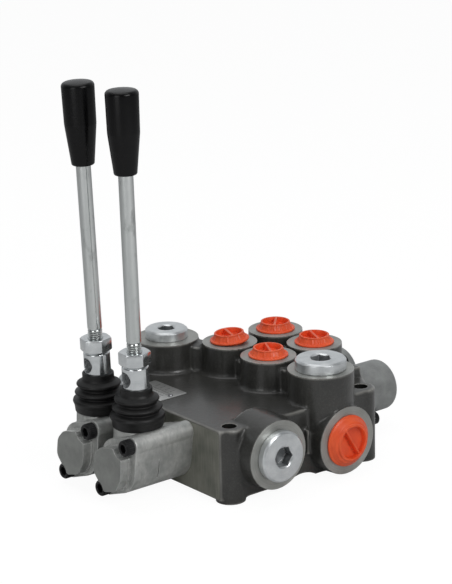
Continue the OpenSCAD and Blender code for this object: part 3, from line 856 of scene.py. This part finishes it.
def machine_block(piece):
    """Flat faces, ports and holes cut into the rough casting."""
    cut_box(piece, (-FAR, -FAR, BOSS_Z), (FAR, FAR, BOSS_Z + 20))
    cut_box(piece, (-FAR, FRONT_FACE_Y - 20, -20), (FAR, FRONT_FACE_Y + RING_STEP, 60))
    for port in (FRONT_1, FRONT_2):
        combine(piece, drum(FRONT_BOSS_R, 0, 4, out_of_face(port, FRONT_FACE_Y, 1), 144), "UNION")
    for low, high in (
        ((-FAR, BACK_FACE_Y, -20), (FAR, BACK_FACE_Y + 20, 60)),
        ((-FAR, -FAR, -20), (FAR, FAR, 0)),
        ((LEFT_X - 20, -FAR, -20), (LEFT_X, FAR, 80)),
        ((REAR_X, -FAR, -20), (REAR_X + 20, FAR, DECK_Z - 1)),
    ):
        cut_box(piece, low, high)
    # shallow arch under the wall between the two front ports
    combine(piece, drum(ARCH_R, -40, ARCH_DEPTH_Y, along((0, 1, 0), (ARCH_X, 0, ARCH_Z - ARCH_R)), 160))
    ports = bmesh.new()
    for x, y in WORK_PORTS:
        stepped_port(ports, HALF_INCH_R, 15, 7, 20, shift(x, y, BOSS_Z))
    stepped_port(ports, THREE_QUARTER_R, 17, 9, 22, shift(TOP_FRONT.x, TOP_FRONT.y, BOSS_Z))
    stepped_port(ports, HALF_INCH_R, 15, 7, 20, shift(TOP_BACK.x, TOP_BACK.y, BOSS_Z))
    for port in (FRONT_1, FRONT_2):
        stepped_port(ports, THREE_QUARTER_R, 16, 9, 24, out_of_face(port, FRONT_FACE_Y, -1))
    stepped_port(ports, THREE_QUARTER_R, 16, 9, 24, out_of_face(BACK_PORT, BACK_FACE_Y, 1))
    stepped_port(ports, 9, 16, 5, 20, out_of_face(RELIEF, BACK_FACE_Y, 1))
    combine(piece, ports)
    holes = bmesh.new()
    mouth_r, above = LUG_HOLE_R + 0.6, DECK_Z + 30
    for lug in lugs:
        profile = [(0, -1), (LUG_HOLE_R, -1), (LUG_HOLE_R, DECK_Z - 0.3), (mouth_r, DECK_Z + 0.3),
                   (mouth_r, above), (0, above)]
        add_lathe(holes, profile, Matrix.Translation(lug), 48)
    for y in STATION_Y:
        add_cone(holes, 8.05, 8.05, LEFT_X - 1, REAR_X + 1, spool_line(y), 64)
    combine(piece, holes)


def boss_hub(centre):
    """The port axis nearest to a face centre of the casting."""
    x, y, z = centre
    if z > BOSS_Z - 0.5:
        spots = [(px, py, BOSS_Z) for px, py in WORK_PORTS]
        spots += [(TOP_FRONT.x, TOP_FRONT.y, BOSS_Z), (TOP_BACK.x, TOP_BACK.y, BOSS_Z)]
    elif y < FRONT_FACE_Y + 0.5:
        spots = [(p.x, FRONT_FACE_Y, p.z) for p in (FRONT_1, FRONT_2)]
    else:
        spots = [(p.x, BACK_FACE_Y, p.z) for p in (BACK_PORT, RELIEF)]
    return min(spots, key=lambda s: (s[0] - x) ** 2 + (s[1] - y) ** 2 + (s[2] - z) ** 2)


def on_a_ring(centres):
    """Faces that lie within the turned ring of one of the two front ports."""
    found = np.zeros(len(centres), bool)
    for port in (FRONT_1, FRONT_2):
        found |= off_axis(centres, (0, 2), port.x, port.z) < FRONT_BOSS_R + 0.4
    return found


def valve_casting():
    piece = cast_from(cast_shapes(), "valve_casting", 0.9, 9)
    machine_block(piece)
    shade(piece, 38)
    centres, _ = face_values(piece)
    front = facing(piece, 1, FRONT_FACE_Y, -1) & on_a_ring(centres)
    flat = facing(piece, 2, BOSS_Z, 1) | front | facing(piece, 1, BACK_FACE_Y, 1) | facing(piece, 2, 0, -1)
    ends = facing(piece, 0, LEFT_X, -1) | facing(piece, 0, REAR_X, 1)
    # the walls of the lug holes below the deck show the near-black bore material: painted shade
    bored = np.zeros(len(centres), bool)
    for lug in lugs:
        in_hole = off_axis(centres, (0, 1), lug.x, lug.y) < LUG_HOLE_R + 0.1
        bored |= in_hole & (centres[:, 2] < DECK_Z - 0.4)
    set_hub(piece, boss_hub)
    dress(piece, ["paint", "machined", "milled", "bore"], "valve", "valve_body")
    show_looks(piece, np.where(flat, 1, np.where(ends, 2, np.where(bored, 3, 0))))


# ---------- lever housings ----------

SHOULDER_X = lowest("housing_screws").x + 6
NOSE_X = lowest("lever_housing_1").x
TOWER_R = 13.6
TOWER_Z = highest("lever_housing_1").z
COLLAR_R = 14.8
COLLAR_Z = 46


def nose_outline():
    """End face of a housing: straight on one side, hollowed round the upper screw head."""
    return rounded([
        (-13.6, -1), (-12.6, -6, 6), (-7.6, -14.2, 8), (4.6, -17.8, 4), (14.8, -7.0, 6), (13.2, 3.8, 9),
        (6.8, 10.4, 10), (-6.2, 13.2, 1.0), (-8.8, 9.4, 5.5), (-14.2, 7.4, 1.0), (-13.6, -1),
    ], 8)[:-1]


def lever_housing(i):
    y = STATION_Y[i]
    side = yz_plane(0, y, SPOOL_Z)
    pivot = shift(pivots[i].x, y)
    bm = bmesh.new()
    add_prism(bm, eared(18.5, 15.5, 5.5, HOUSING_EARS), SHOULDER_X, LEFT_X + 2, side)
    add_cone(bm, 6.1, 6.1, SHOULDER_X, LEFT_X + 2, spool_line(y, -15, 15), 48)
    add_cone(bm, COLLAR_R + 0.5, COLLAR_R, 35, COLLAR_Z, pivot, 72)
    add_cone(bm, TOWER_R, TOWER_R, 35, TOWER_Z, pivot, 72)
    piece = cast_from(bm, f"housing_{i + 1}", 0.42, 3)
    cut_box(piece, (NOSE_X - 20, -FAR / 2, -20), (SHOULDER_X, FAR, 80))
    cut_box(piece, (LEFT_X, -FAR / 2, -20), (LEFT_X + 20, FAR, 80))
    for outline, x in ((nose_outline(), NOSE_X), (scaled(nose_outline(), 1.05), SHOULDER_X - 1.3)):
        nose = bmesh.new()
        add_prism(nose, outline, x, SHOULDER_X + 3, side)
        combine(piece, nose, "UNION")
    start, end = NOSE_X - 5, LEFT_X + 1
    hole = [(0, start), (5.35, start), (5.35, SHOULDER_X), (3.3, SHOULDER_X), (3.3, end), (0, end)]
    drill(piece, hole, [spool_line(y, *ear) for ear in HOUSING_EARS], 48)
    # parting line of the casting, on the side that faces the camera
    cut_box(piece, (-36.3, y - 19, SPOOL_Z - 9), (-35.8, y - 15.22, SPOOL_Z + 7))
    cavity = [(0, 30), (8.6, 30), (11.25, 38), (11.25, TOWER_Z + 2), (0, TOWER_Z + 2)]
    combine(piece, lathed(cavity, pivot, 64))
    combine(piece, drum(9.2, -56, LEFT_X + 1, spool_line(y), 64))
    shade(piece, 35)
    dress(piece, ["alloy", "faced"], "valve", f"lever_housing_{i + 1}")
    show_looks(piece, facing(piece, 0, NOSE_X, -1))


def socket_screw(bm, head_r, head_h, shank_r, length, flats, place):
    """Socket-head screw along local +Z, with the underside of its head at z = 0."""
    teeth = 26
    sides = teeth * 4

    def knurl(t, radius, z):
        return radius - (0.16 * (0.5 + 0.5 * math.cos(teeth * t)) if radius > head_r - 0.01 else 0)

    def hexed(t, radius, z):
        return radius / math.cos((t + FULL / 12) % (FULL / 6) - FULL / 12)

    corner = hex_corner(flats)
    profile = rounded([
        (0, length), (shank_r, length), (shank_r, 0), (head_r - 0.3, 0), (head_r, -0.3),
        (head_r, -head_h + 0.9, 0.4), (head_r - 0.7, -head_h, 0.4), (corner + 0.35, -head_h),
        (corner, -head_h + 0.3),
    ], 3)
    ring = add_lathe(bm, profile, place, sides, shape=knurl)[-1]
    floor = -head_h + head_h * 0.55
    for z in (-head_h + 0.45, floor):
        deeper = add_lathe(bm, [(flats / 2, z)], place, sides, shape=hexed)[0]
        bridge(bm, ring, deeper)
        ring = deeper
    bridge(bm, ring, [bm.verts.new(place @ Vector((0, 0, floor + 0.9)))])


# ---------- levers ----------


def lever_axis(i):
    """Matrix of the lever at rest: the pivot as origin, and +Z up the rod."""
    low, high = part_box(f"lever_knob_{i + 1}")
    top = Vector(((low.x + high.x) / 2 / MM, pivots[i].y, (low.z + high.z) / 2 / MM))
    lean = top - pivots[i]
    return along(tuple(lean), pivots[i])


LEVERS = [lever_axis(0), lever_axis(1)]
SOCKET_LOW, SOCKET_TOP, SOCKET_R = 18, 41, 8.2
CROSS_HOLE = 32.5
NUT_H, NUT_FLATS = 8, 17
NUT_TURN = (24, 16)
ROD_R = 4.5
KNOB_TOP = 209
KNOB_LOW = 158
KNOB_R = 10


def lever_boot(i):
    """Bellows with an even wall: upright rings, and a neck that leans the way its lever stands at rest."""
    outer = rounded([
        (14.4, 2.1), (15.5, 2.1, 0.6), (15.9, 6.0, 2.5), (16.9, 8.6, 1.2), (16.4, 9.9, 0.5),
        (13.4, 11.3, 0.6), (13.4, 11.8, 0.4), (15.5, 13.9, 1.1), (15.0, 14.8, 0.5), (11.9, 16.3, 0.6),
        (11.9, 16.9, 0.4), (13.9, 19.2, 1.2), (13.4, 20.2, 0.6), (10.5, 21.7, 1.0), (9.8, 23.2, 0.8),
        (9.8, 26.1, 0.4), (9.5, 26.5, 0.3), (8.5, 26.5, 0.2), (8.28, 26.2),
    ], 5)
    inner = rounded([
        (8.28, 26.2), (8.28, 22.4, 0.5), (12.2, 19.8, 0.6), (10.9, 16.7, 0.6), (13.9, 14.0, 0.6),
        (12.4, 11.6, 0.6), (15.2, 9.2, 0.6), (13.7, 6.6, 0.6), (13.7, 2.4, 0.2), (14.4, 2.1),
    ], 4)
    bm = bmesh.new()
    add_lathe(bm, outer + inner[1:-1], sides=112, closed=True)
    lean = (LEVERS[i].to_3x3() @ Vector((0, 0, 1))).x
    for v in bm.verts:
        share = min(1, max(0, (v.co.z - 8) / 12))
        sag = 0.12 * noise.noise(Vector((math.atan2(v.co.y, v.co.x) * 1.1, v.co.z * 0.25, 7 * i)))
        v.co.x += lean * v.co.z * share * share * (3 - 2 * share)
        v.co.z += sag * share * (1 - share) * 4
    bm.transform(Matrix.Translation(pivots[i]))
    piece = finish_mesh(bm, f"boot_{i + 1}", 50)
    piece.data.materials.append(LOOK["boot"])
    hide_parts(f"lever_boot_{i + 1}")
    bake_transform(piece)


def lever_socket(i):
    """Turned socket with a threaded cross hole."""
    profile = rounded([
        (0, SOCKET_LOW), (SOCKET_R - 0.6, SOCKET_LOW), (SOCKET_R, SOCKET_LOW + 0.6),
        (SOCKET_R, SOCKET_TOP - 1.6, 0.8), (SOCKET_R - 1.4, SOCKET_TOP, 0.4), (0, SOCKET_TOP),
    ], 4)
    piece = finish_mesh(lathed(profile), f"socket_{i + 1}")
    hole = [(0, -12), (4.9, -12), (4.9, -8.0), (4.2, -7.2)]
    hole += thread(-7.0, 0, 1.25, (4.35, 0), (3.75, 0.6)) + [(3.7, 1.5), (0, 1.5)]
    combine(piece, lathed(hole, along((1, 0, 0), (0, 0, CROSS_HOLE)), 48))
    # the faces inside the cross hole show the darker zinc, which is painted shade
    centres, _ = face_values(piece)
    in_hole = off_axis(centres, (1, 2), 0, CROSS_HOLE) < 4.95
    inside = in_hole & (off_axis(centres, (0, 1), 0, 0) < SOCKET_R - 0.3)
    settle(piece, LEVERS[i], 32)
    dress(piece, ["nut", "pocket"], f"lever_{i + 1}", f"lever_socket_{i + 1}")
    show_looks(piece, inside)


def lock_nut(i):
    low, high = SOCKET_TOP, SOCKET_TOP + NUT_H
    corner = hex_corner(NUT_FLATS)
    trim = [
        (0, low - 0.5), (corner - 1.6, low - 0.5), (corner - 0.95, low), (corner + 0.05, low + 0.65),
        (corner + 0.05, high - 0.65), (corner - 0.95, high), (corner - 1.6, high + 0.5), (0, high + 0.5),
    ]
    piece = hex_body(f"nut_{i + 1}", NUT_FLATS, low, high, trim, 144, math.radians(NUT_TURN[i]))
    hole = [(0, low - 1), (5.6, low - 1), (4.6, low + 0.4), (4.6, high - 0.5), (5.4, high + 0.3),
            (5.4, high + 2), (0, high + 2)]
    combine(piece, lathed(hole, sides=64))
    soften(piece, 0.22, 2, 25)
    settle(piece, LEVERS[i], 32)
    dress(piece, ["nut"], f"lever_{i + 1}", f"lock_nut_{i + 1}")


def lever_rod(i):
    """Plated bar with the threaded end that stands out of the lock nut."""
    start, end = SOCKET_TOP - 3.6, KNOB_LOW + 12
    thread_end = SOCKET_TOP + NUT_H + 5.2
    pitch, steps = 1.25, 24
    root, crest = ROD_R - 0.42, ROD_R - 0.01
    profile = [(0, start), (3.6, start)]
    groove = (root, 0), (crest, pitch * 0.42), (crest, pitch * 0.58)
    profile += thread(SOCKET_TOP - 3, thread_end, pitch, *groove)
    profile += [(root, thread_end + 0.2), (ROD_R - 0.3, thread_end + 0.6), (ROD_R, thread_end + 1.0)]
    profile += [(ROD_R, thread_end + 2 + (end - thread_end - 2) * k / steps) for k in range(steps + 1)]
    piece = finish_mesh(lathed(profile + [(0, end)], LEVERS[i], 64), f"rod_{i + 1}", 32)
    dress(piece, ["bar"], f"lever_{i + 1}", f"lever_rod_{i + 1}")


def lever_knob(i):
    profile = rounded([
        (0, KNOB_LOW + 2), (4.7, KNOB_LOW + 2), (4.7, KNOB_LOW), (6.9, KNOB_LOW, 1.1),
        (KNOB_R - 0.35, KNOB_LOW + 25, 14), (KNOB_R, KNOB_TOP - 0.9, 2.4), (0, KNOB_TOP),
    ], 8)
    piece = finish_mesh(lathed(profile, LEVERS[i]), f"knob_{i + 1}", 60)
    dress(piece, ["knob"], f"lever_{i + 1}", f"lever_knob_{i + 1}")


# ---------- rear caps ----------

CAP_END_X = highest("rear_cap_1").x
CAP_R = 17
EAR_END_X = 139.5


def rear_cap(i):
    y = STATION_Y[i]
    bm = bmesh.new()
    profile = [(0, REAR_X - 2), (CAP_R, REAR_X - 2), (CAP_R - 0.25, CAP_END_X, 3.6), (0, CAP_END_X)]
    add_lathe(bm, rounded(profile, 8), spool_line(y))
    add_prism(bm, eared(CAP_R - 1, CAP_R - 1, 5.2, CAP_EARS), REAR_X - 2, EAR_END_X, yz_plane(0, y, SPOOL_Z))
    piece = cast_from(bm, f"cap_body_{i + 1}", 0.5, 4)
    cut_box(piece, (REAR_X - 20, -FAR / 2, -20), (REAR_X, FAR, 80))
    start, seat, end = REAR_X - 1, EAR_END_X - 0.3, EAR_END_X + 8
    hole = [(0, start), (2.8, start), (2.8, seat), (5.0, seat), (5.0, end), (0, end)]
    drill(piece, hole, [spool_line(y, *ear) for ear in CAP_EARS], 40)
    seat, end = 143.4, CAP_END_X - 2.5
    hollow = [(0, start), (12.5, start), (12.5, seat), (9.5, seat), (9.5, end), (0, end)]
    combine(piece, lathed(hollow, spool_line(y), 64))
    shade(piece, 35)
    dress(piece, ["blasted"], "valve", f"rear_cap_{i + 1}")


def screw_sets():
    """The two screws of each housing and of each rear cap."""
    for name, node, ears, x, way, sizes in (
        ("housing_screws", "housing_screws", HOUSING_EARS, SHOULDER_X, 1, (5, 6, 3, 40, 5)),
        ("rear_screws", "rear_cap_screws", CAP_EARS, EAR_END_X, -1, (4.25, 5, 2.5, 28, 4)),
    ):
        for i, y in enumerate(STATION_Y):
            bm = bmesh.new()
            for dy, dz in ears:
                socket_screw(bm, *sizes, along((way, 0, 0), (x, y + dy, SPOOL_Z + dz)))
            piece = finish_mesh(bm, f"{name}_{i + 1}", 30)
            same_hub(piece, (x, y, SPOOL_Z))
            dress(piece, ["black"], "valve", node)


# ---------- caps and plugs ----------

SMALL_FLANGE_R = 12.7


def finish_cap(piece, node, place, bar, half):
    """Adds the bar across the cup of a cap, then puts the cap in its port."""
    foot, low, crown, top, fillet = bar
    outline = [(-foot, low), (foot, low), (crown, top, fillet), (-crown, top, fillet), (-foot, low)]
    bm = bmesh.new()
    add_prism(bm, rounded(outline, 3)[:-1], -half, half, yz_plane(0, 0, 0))
    combine(piece, bm, "UNION")
    move(piece, place)
    shade(piece, 40)
    dress(piece, ["orange"], "valve", node)


def small_cap(name, node, place):
    """Push-in cap: flange, ribbed crown open on top with one bar across it, and a hollow stem."""
    flange_r, low_r, top_r, stem_r = SMALL_FLANGE_R, 11.3, 9.5, 8.7
    height, stem_l, ribs = 5.4, 8, 14
    rib, floor, wall = 0.34, 1.6, 1.15

    def ribbed(t, radius, z):
        if 1.35 < z < height - 0.75 and radius > top_r - 0.5:
            wave = 0.5 + 0.5 * math.cos(ribs * t)
            return radius - rib * (1 - wave ** 6)
        return radius

    outer = [
        (0, -stem_l + 2), (stem_r - 1.6, -stem_l + 2), (stem_r - 1.6, -stem_l), (stem_r - 0.5, -stem_l),
        (stem_r, -stem_l + 0.8), (stem_r, -0.02), (flange_r - 0.35, 0, 0.2), (flange_r, 0.4, 0.25),
        (flange_r - 0.05, 1.15, 0.4), (low_r + 0.5, 1.35, 0.2), (low_r + 0.1, 1.2, 0.15), (low_r, 1.5),
    ]
    rise = [(low_r + (top_r - low_r) * k / 4, 1.5 + (height - 2.3) * k / 4) for k in range(1, 5)]
    lip = [
        (top_r + 0.12, height - 0.7), (top_r + 0.12, height - 0.2, 0.2), (top_r - 0.1, height, 0.1),
        (top_r - wall + 0.1, height, 0.1), (top_r - wall, height - 0.2),
        (top_r - wall - 0.1, floor + 0.4, 0.4), (top_r - wall - 0.7, floor), (0, floor),
    ]
    bm = bmesh.new()
    add_lathe(bm, rounded(outer, 3) + rise + rounded(lip, 3), sides=ribs * 16, shape=ribbed)
    bar = (0.95, floor - 0.8, 0.8, height - 0.05, 0.25)
    finish_cap(finish_mesh(bm, name), node, place, bar, top_r - wall / 2)


def small_caps():
    turns = {"a1": 61, "b1": 67, "a2": 69, "b2": 46}
    tips = {"a2": 4.5}
    view = Matrix.Rotation(math.radians(-39), 4, "Z")
    out, back = (shift(way * SMALL_FLANGE_R, 0) for way in (-1, 1))
    for name, turn in turns.items():
        x = ROW_X["ab".index(name[0])]
        y = STATION_Y[int(name[1]) - 1]
        tip = Matrix.Rotation(math.radians(-tips.get(name, 0)), 4, "Y")
        place = shift(x, y, BOSS_Z) @ view @ (out @ tip @ back) @ view.inverted()
        small_cap(f"cap_{name}", f"port_cap_{name}", turned_by(place, turn))


def large_caps():
    large_cap("cap_front", "front_port_cap", turned_by(out_of_face(FRONT_2, FRONT_FACE_Y, -1), 122))
    large_cap("cap_back", "back_port_cap", turned_by(out_of_face(BACK_PORT, BACK_FACE_Y, 1), 30))


def large_cap(name, node, place):
    """Wide cap: smooth sloping shoulder, raised ring, and a bar across the cup."""
    profile = rounded([
        (0, -10), (10.5, -10), (10.5, -12), (11.6, -12), (12.05, -11), (12.05, -0.02), (16.1, 0, 0.2),
        (16.4, 0.4, 0.3), (16.35, 1.3, 0.6), (15.2, 2.0, 1.0), (13.2, 4.4, 1.6), (11.9, 4.9, 0.6),
        (11.6, 5.9, 0.35), (10.3, 6.0, 0.35), (10.0, 5.0, 0.4), (9.8, 2.4, 0.5), (9.2, 2.0), (0, 2.0),
    ], 4)
    finish_cap(finish_mesh(lathed(profile, sides=128), name), node, place, (0.85, 1.2, 0.6, 5.5, 0.35), 10.4)


def socket_plug(name, node, place, head_r, head_h, thread_r, flats):
    """Hexagon-socket plug: the head stands on local z = 0, with its thread below."""
    root, crest = thread_r - 0.95, thread_r - 0.1
    profile = [(0, -14), (thread_r - 1.2, -14), (crest, -12.9)]
    profile += thread(-12.4, -3, 1.81, (root, 0), (crest, 0.75))
    profile += rounded([
        (thread_r - 0.9, -1.4), (thread_r - 0.9, 0.0), (head_r - 0.5, 0.0), (head_r, 0.5, 0.2),
        (head_r, head_h - 1.1, 0.5), (head_r - 1.2, head_h, 0.5), (0, head_h),
    ], 6)
    piece = finish_mesh(lathed(profile, sides=128), name)
    pocket = bmesh.new()
    add_hexagon(pocket, flats, head_h - 6.5, head_h + 2)
    combine(piece, pocket)
    corner, drill_r, above = hex_corner(flats), flats / 2 - 0.5, head_h + 1
    mouth = [(0, head_h - 1.4), (flats / 2 - 0.4, head_h - 1.1), (corner + 0.4, head_h + 0.02),
             (corner + 0.4, above), (0, above)]
    combine(piece, lathed(mouth, sides=72))
    drilled = [(0, head_h - 9), (drill_r, head_h - 6.6), (drill_r, head_h - 5), (0, head_h - 5)]
    combine(piece, lathed(drilled, sides=48))
    # the faces down inside the hexagon socket show the darker zinc, which is painted shade
    centres, _ = face_values(piece)
    inside = (off_axis(centres, (0, 1), 0, 0) < corner + 0.1) & (centres[:, 2] < head_h - 1.3)
    settle(piece, place, 32)
    dress(piece, ["zinc", "pocket"], "valve", node)
    show_looks(piece, inside)


def plugs():
    upright = [shift(port.x, port.y, BOSS_Z) for port in (TOP_FRONT, TOP_BACK)]
    side = out_of_face(FRONT_1, FRONT_FACE_Y, -1)
    upright_h, side_h = highest("top_plug_front").z - BOSS_Z, FRONT_FACE_Y - lowest("front_plug").y
    for name, node, place, head_r, head_h, thread_r, flats in (
        ("plug_top_front", "top_plug_front", turned_by(upright[0], -2), 16, upright_h, THREE_QUARTER_R, 12),
        ("plug_top_back", "top_plug_back", turned_by(upright[1], 12), 13.8, 6.2, HALF_INCH_R, 10),
        ("plug_front", "front_plug", turned_by(side, -3), 16, side_h, THREE_QUARTER_R, 12),
    ):
        socket_plug(name, node, place, head_r, head_h, thread_r, flats)


# ---------- relief valve ----------


def relief_parts():
    """Cartridge with a hexagon head, lock nut and adjusting screw, built along local +Z."""
    head_flats, screw_r = 22, 4.95
    rim = hex_corner(head_flats) + 0.1
    trim = [(0, 1), (rim, 1), (rim, 9.2), (hex_corner(head_flats) - 1.3, 10), (0, 10)]
    body = hex_body("relief_body", head_flats, 1.5, 10, trim, 120)
    stem = rounded([
        (0, -18), (8.6, -18), (8.95, -17.5), (8.95, -0.01), (12.8, 0), (13, 0.3, 0.2), (13, 1.7, 0.3),
        (12, 2.0), (0, 2.0),
    ], 3)
    combine(body, lathed(stem), "UNION")
    bore = [(0, -19), (2.6, -19), (2.6, -15), (5, -15), (5, 9.4), (5.7, 10.02), (5.7, 12), (0, 12)]
    combine(body, lathed(bore, sides=64))
    low_r, rim = hex_corner(NUT_FLATS) - 1.5, hex_corner(NUT_FLATS) + 0.1
    trim = [(0, 9.5), (low_r, 9.5), (rim, 10.7), (rim, 15.3), (low_r, 16.5), (0, 16.5)]
    lock = hex_body("relief_nut", NUT_FLATS, 10, 16, trim, 120, 0.3)
    combine(lock, drum(5.02, 9, 17, sides=64))
    profile = [(0, 4), (4.4, 4)] + thread(4.4, 20, 1.0, (screw_r - 0.5, 0), (screw_r, 0.5))
    profile += rounded([(screw_r, 20.2), (4.3, 21, 0.2), (2.9, 21), (2.9, 17.5), (0, 17.0)], 3)
    adjuster = finish_mesh(lathed(profile, sides=72), "relief_screw")
    for piece, look, slot, node in (
        (body, "zinc", "zinc", "relief_cartridge"),
        (lock, "zinc", "zinc", "relief_lock_nut"),
        (adjuster, "black", "black_screw", "relief_adjuster"),
    ):
        settle(piece, out_of_face(RELIEF, BACK_FACE_Y, 1), 32)
        dress(piece, [look], "valve", node)


# ---------- springs behind the two poppets ----------

SPRING_WIRE = 0.7
CLOSED_TURNS = 0.8


def coil_spring(name, node, axis, turns):
    """Wire spring with closed ends."""
    low, high = lowest(node), highest(node)
    way = Vector(axis)
    length = (high - low).dot(way)
    place = along(axis, (low + high) / 2 - way * length / 2)
    radius = (high.x - low.x) / 2 - SPRING_WIRE
    closed_pitch = 2 * SPRING_WIRE
    open_turns = turns - 2 * CLOSED_TURNS
    open_pitch = (length - closed_pitch * (1 + 2 * CLOSED_TURNS)) / open_turns
    steps, sides = 24, 10
    bm = bmesh.new()
    rings = []
    for k in range(round(turns * steps) + 1):
        turn = k / steps
        open_part = min(max(turn - CLOSED_TURNS, 0), open_turns)
        z = SPRING_WIRE + closed_pitch * (turn - open_part) + open_pitch * open_part
        x, y = math.cos(FULL * turn), math.sin(FULL * turn)
        ring = []
        for j in range(sides):
            out = radius + SPRING_WIRE * math.cos(FULL * j / sides)
            up = z + SPRING_WIRE * math.sin(FULL * j / sides)
            ring.append(bm.verts.new(place @ Vector((out * x, out * y, up))))
        rings.append(ring)
    for near, far in zip(rings, rings[1:]):
        bridge(bm, near, far)
    bm.faces.new(rings[0][::-1])
    bm.faces.new(rings[-1])
    piece = finish_mesh(bm, name, 50)
    dress(piece, ["steel"], "valve", node)
    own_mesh(piece)


def poppet_springs():
    coil_spring("check_coil", "check_spring", (0, 0, 1), 6)
    coil_spring("relief_coil", "relief_spring", (0, 1, 0), 6.5)


# ---------- name plate ----------

SHEET = 0.42
RIVET_R = 1.6


def name_plate():
    """Thin sheet with generic ruled lines, and two dome rivets."""
    low, high = lowest("name_plate"), highest("name_plate")
    middle_left = (low.x, low.y + 6)
    outline = [middle_left, (low.x, low.y, 1.5), (high.x, low.y, 1.5), (high.x, high.y, 1.5),
               (low.x, high.y, 1.5), middle_left]
    bm = bmesh.new()
    add_prism(bm, rounded(outline, 5)[:-1], low.z, low.z + SHEET)
    sheet = finish_mesh(bm, "plate_sheet")
    soften(sheet, 0.12, 2, 60)
    rivet_x = middle("plate_rivets").x
    first, last = lowest("plate_rivets").y + RIVET_R, highest("plate_rivets").y - RIVET_R
    places = [shift(rivet_x, y, low.z) for y in (first, last)]
    drill(sheet, [(0, -1), (0.95, -1), (0.95, 1.5), (0, 1.5)], places, 32)
    shade(sheet, 35)
    dress(sheet, ["plate"], "valve", "name_plate")
    ink = bmesh.new()
    top, span = low.z + SHEET, high.x - low.x
    for k in range(9):
        y = low.y + 6.5 + k * 2.5
        for start, end in ((0.12, 0.4), (0.46, 0.66), (0.7, 0.88))[: 2 + k % 2]:
            add_box(ink, (low.x + span * start, y, top - 0.02), (low.x + span * end, y + 0.55, top + 0.03))
    dress(finish_mesh(ink, "plate_lines"), ["print"], "valve", "name_plate")
    domes = bmesh.new()
    dome = arc((0.3, 0.45), 1.3, 0, 60, 5)[1:]
    profile = [(0, -3), (0.85, -3), (0.85, SHEET), (RIVET_R, SHEET)] + dome + [(0, 1.15)]
    for place in places:
        add_lathe(domes, [(r, min(z, 1.18)) for r, z in profile], place, 32)
    heads = finish_mesh(domes, "plate_rivet_heads", 40)
    dress(heads, ["steel"], "valve", "plate_rivets")


# ---------- build ----------

slots = {s["node"]: s["material_slot"] for s in record["subparts"]}
for node, cad_object in frame["nodes"].items():
    cad_object.data.materials.clear()
    cad_object.data.materials.append(LOOK[CAD_LOOK[slots[node]]])

valve_casting()
for station in (0, 1):
    lever_housing(station)
    lever_boot(station)
    lever_socket(station)
    lock_nut(station)
    lever_rod(station)
    lever_knob(station)
    rear_cap(station)
screw_sets()
small_caps()
large_caps()
plugs()
relief_parts()
poppet_springs()
name_plate()


# ---------- floor, light and camera, in metres ----------

FLOOR_SIZE = 4.0
FLOOR_GAP = 0.0002
LIGHT_AIM = (0.04, 0.05, 0.05)
WALL_WAY = (0.62, 0.78, 0.05)
FRONT_SKY = 0.1
WALL_SKY = 0.6


def studio():
    floor_bm = bmesh.new()
    bmesh.ops.create_grid(floor_bm, x_segments=2, y_segments=2, size=FLOOR_SIZE)
    mesh = bpy.data.meshes.new("floor")
    floor_bm.to_mesh(mesh)
    floor_bm.free()
    floor = bpy.data.objects.new("floor", mesh)
    bpy.context.scene.collection.objects.link(floor)
    floor.location.z = cad_box[0][2] - FLOOR_GAP
    mesh.materials.append(LOOK["floor"])


def softbox(name, place, power, width, height):
    light = bpy.data.lights.new(name, "AREA")
    light.energy = power
    light.shape = "RECTANGLE"
    light.size = width
    light.size_y = height
    lamp = bpy.data.objects.new(name, light)
    bpy.context.scene.collection.objects.link(lamp)
    lamp.location = place
    lamp.rotation_euler = (Vector(place) - Vector(LIGHT_AIM)).to_track_quat("Z", "Y").to_euler()


def sky():
    """White for the camera. As light it is dim in front and bright behind, as by a white wall."""
    world = bpy.data.worlds.new("studio")
    bpy.context.scene.world = world
    world.use_nodes = True
    n = Nodes(world.node_tree)
    way = n.make("ShaderNodeTexCoord").outputs["Generated"]
    strength = n.spread(n.vector("DOT_PRODUCT", way, WALL_WAY, "Value"), -0.1, 0.8, FRONT_SKY, WALL_SKY)
    lit = n.make("ShaderNodeBackground", {"Color": (0.96, 0.98, 1, 1), "Strength": strength}).outputs[0]
    seen = n.make("ShaderNodeBackground", {"Color": (1, 1, 1, 1), "Strength": 1.0}).outputs[0]
    camera_ray = n.make("ShaderNodeLightPath").outputs["Is Camera Ray"]
    n.make("ShaderNodeOutputWorld", {0: n.mix_shaders(camera_ray, lit, seen)})


def camera():
    """Camera at the photograph's view: azimuth, elevation and roll in degrees, distance in metres."""
    azimuth, elevation, roll, distance = -38.7, 16.75, -1.31, 1.337
    aim = Vector((0.03449, 0.04324, 0.11477))
    a, e, r = (math.radians(v) for v in (azimuth, elevation, roll))
    back = Vector((math.sin(a) * math.cos(e), -math.cos(a) * math.cos(e), math.sin(e)))
    right = Vector((0, 0, 1)).cross(back).normalized()
    up = back.cross(right)
    x = right * math.cos(r) + up * math.sin(r)
    y = up * math.cos(r) - right * math.sin(r)
    lens = bpy.data.cameras.new("camera")
    lens.lens = 133.9
    lens.sensor_width = 36
    view = bpy.data.objects.new("camera", lens)
    bpy.context.scene.collection.objects.link(view)
    view.matrix_world = Matrix((x, y, back)).transposed().to_4x4()
    view.location = aim + back * distance
    bpy.context.scene.camera = view


studio()
softbox("key", (0.05, -1.08, 0.85), 7.2, 0.6, 0.7)
softbox("top", (0.0, 0.2, 1.2), 3.6, 0.9, 0.9)
softbox("left", (-1.0, -0.3, 0.45), 2.5, 0.5, 0.8)
sky()
camera()
bpy.context.scene.view_settings.view_transform = "Standard"
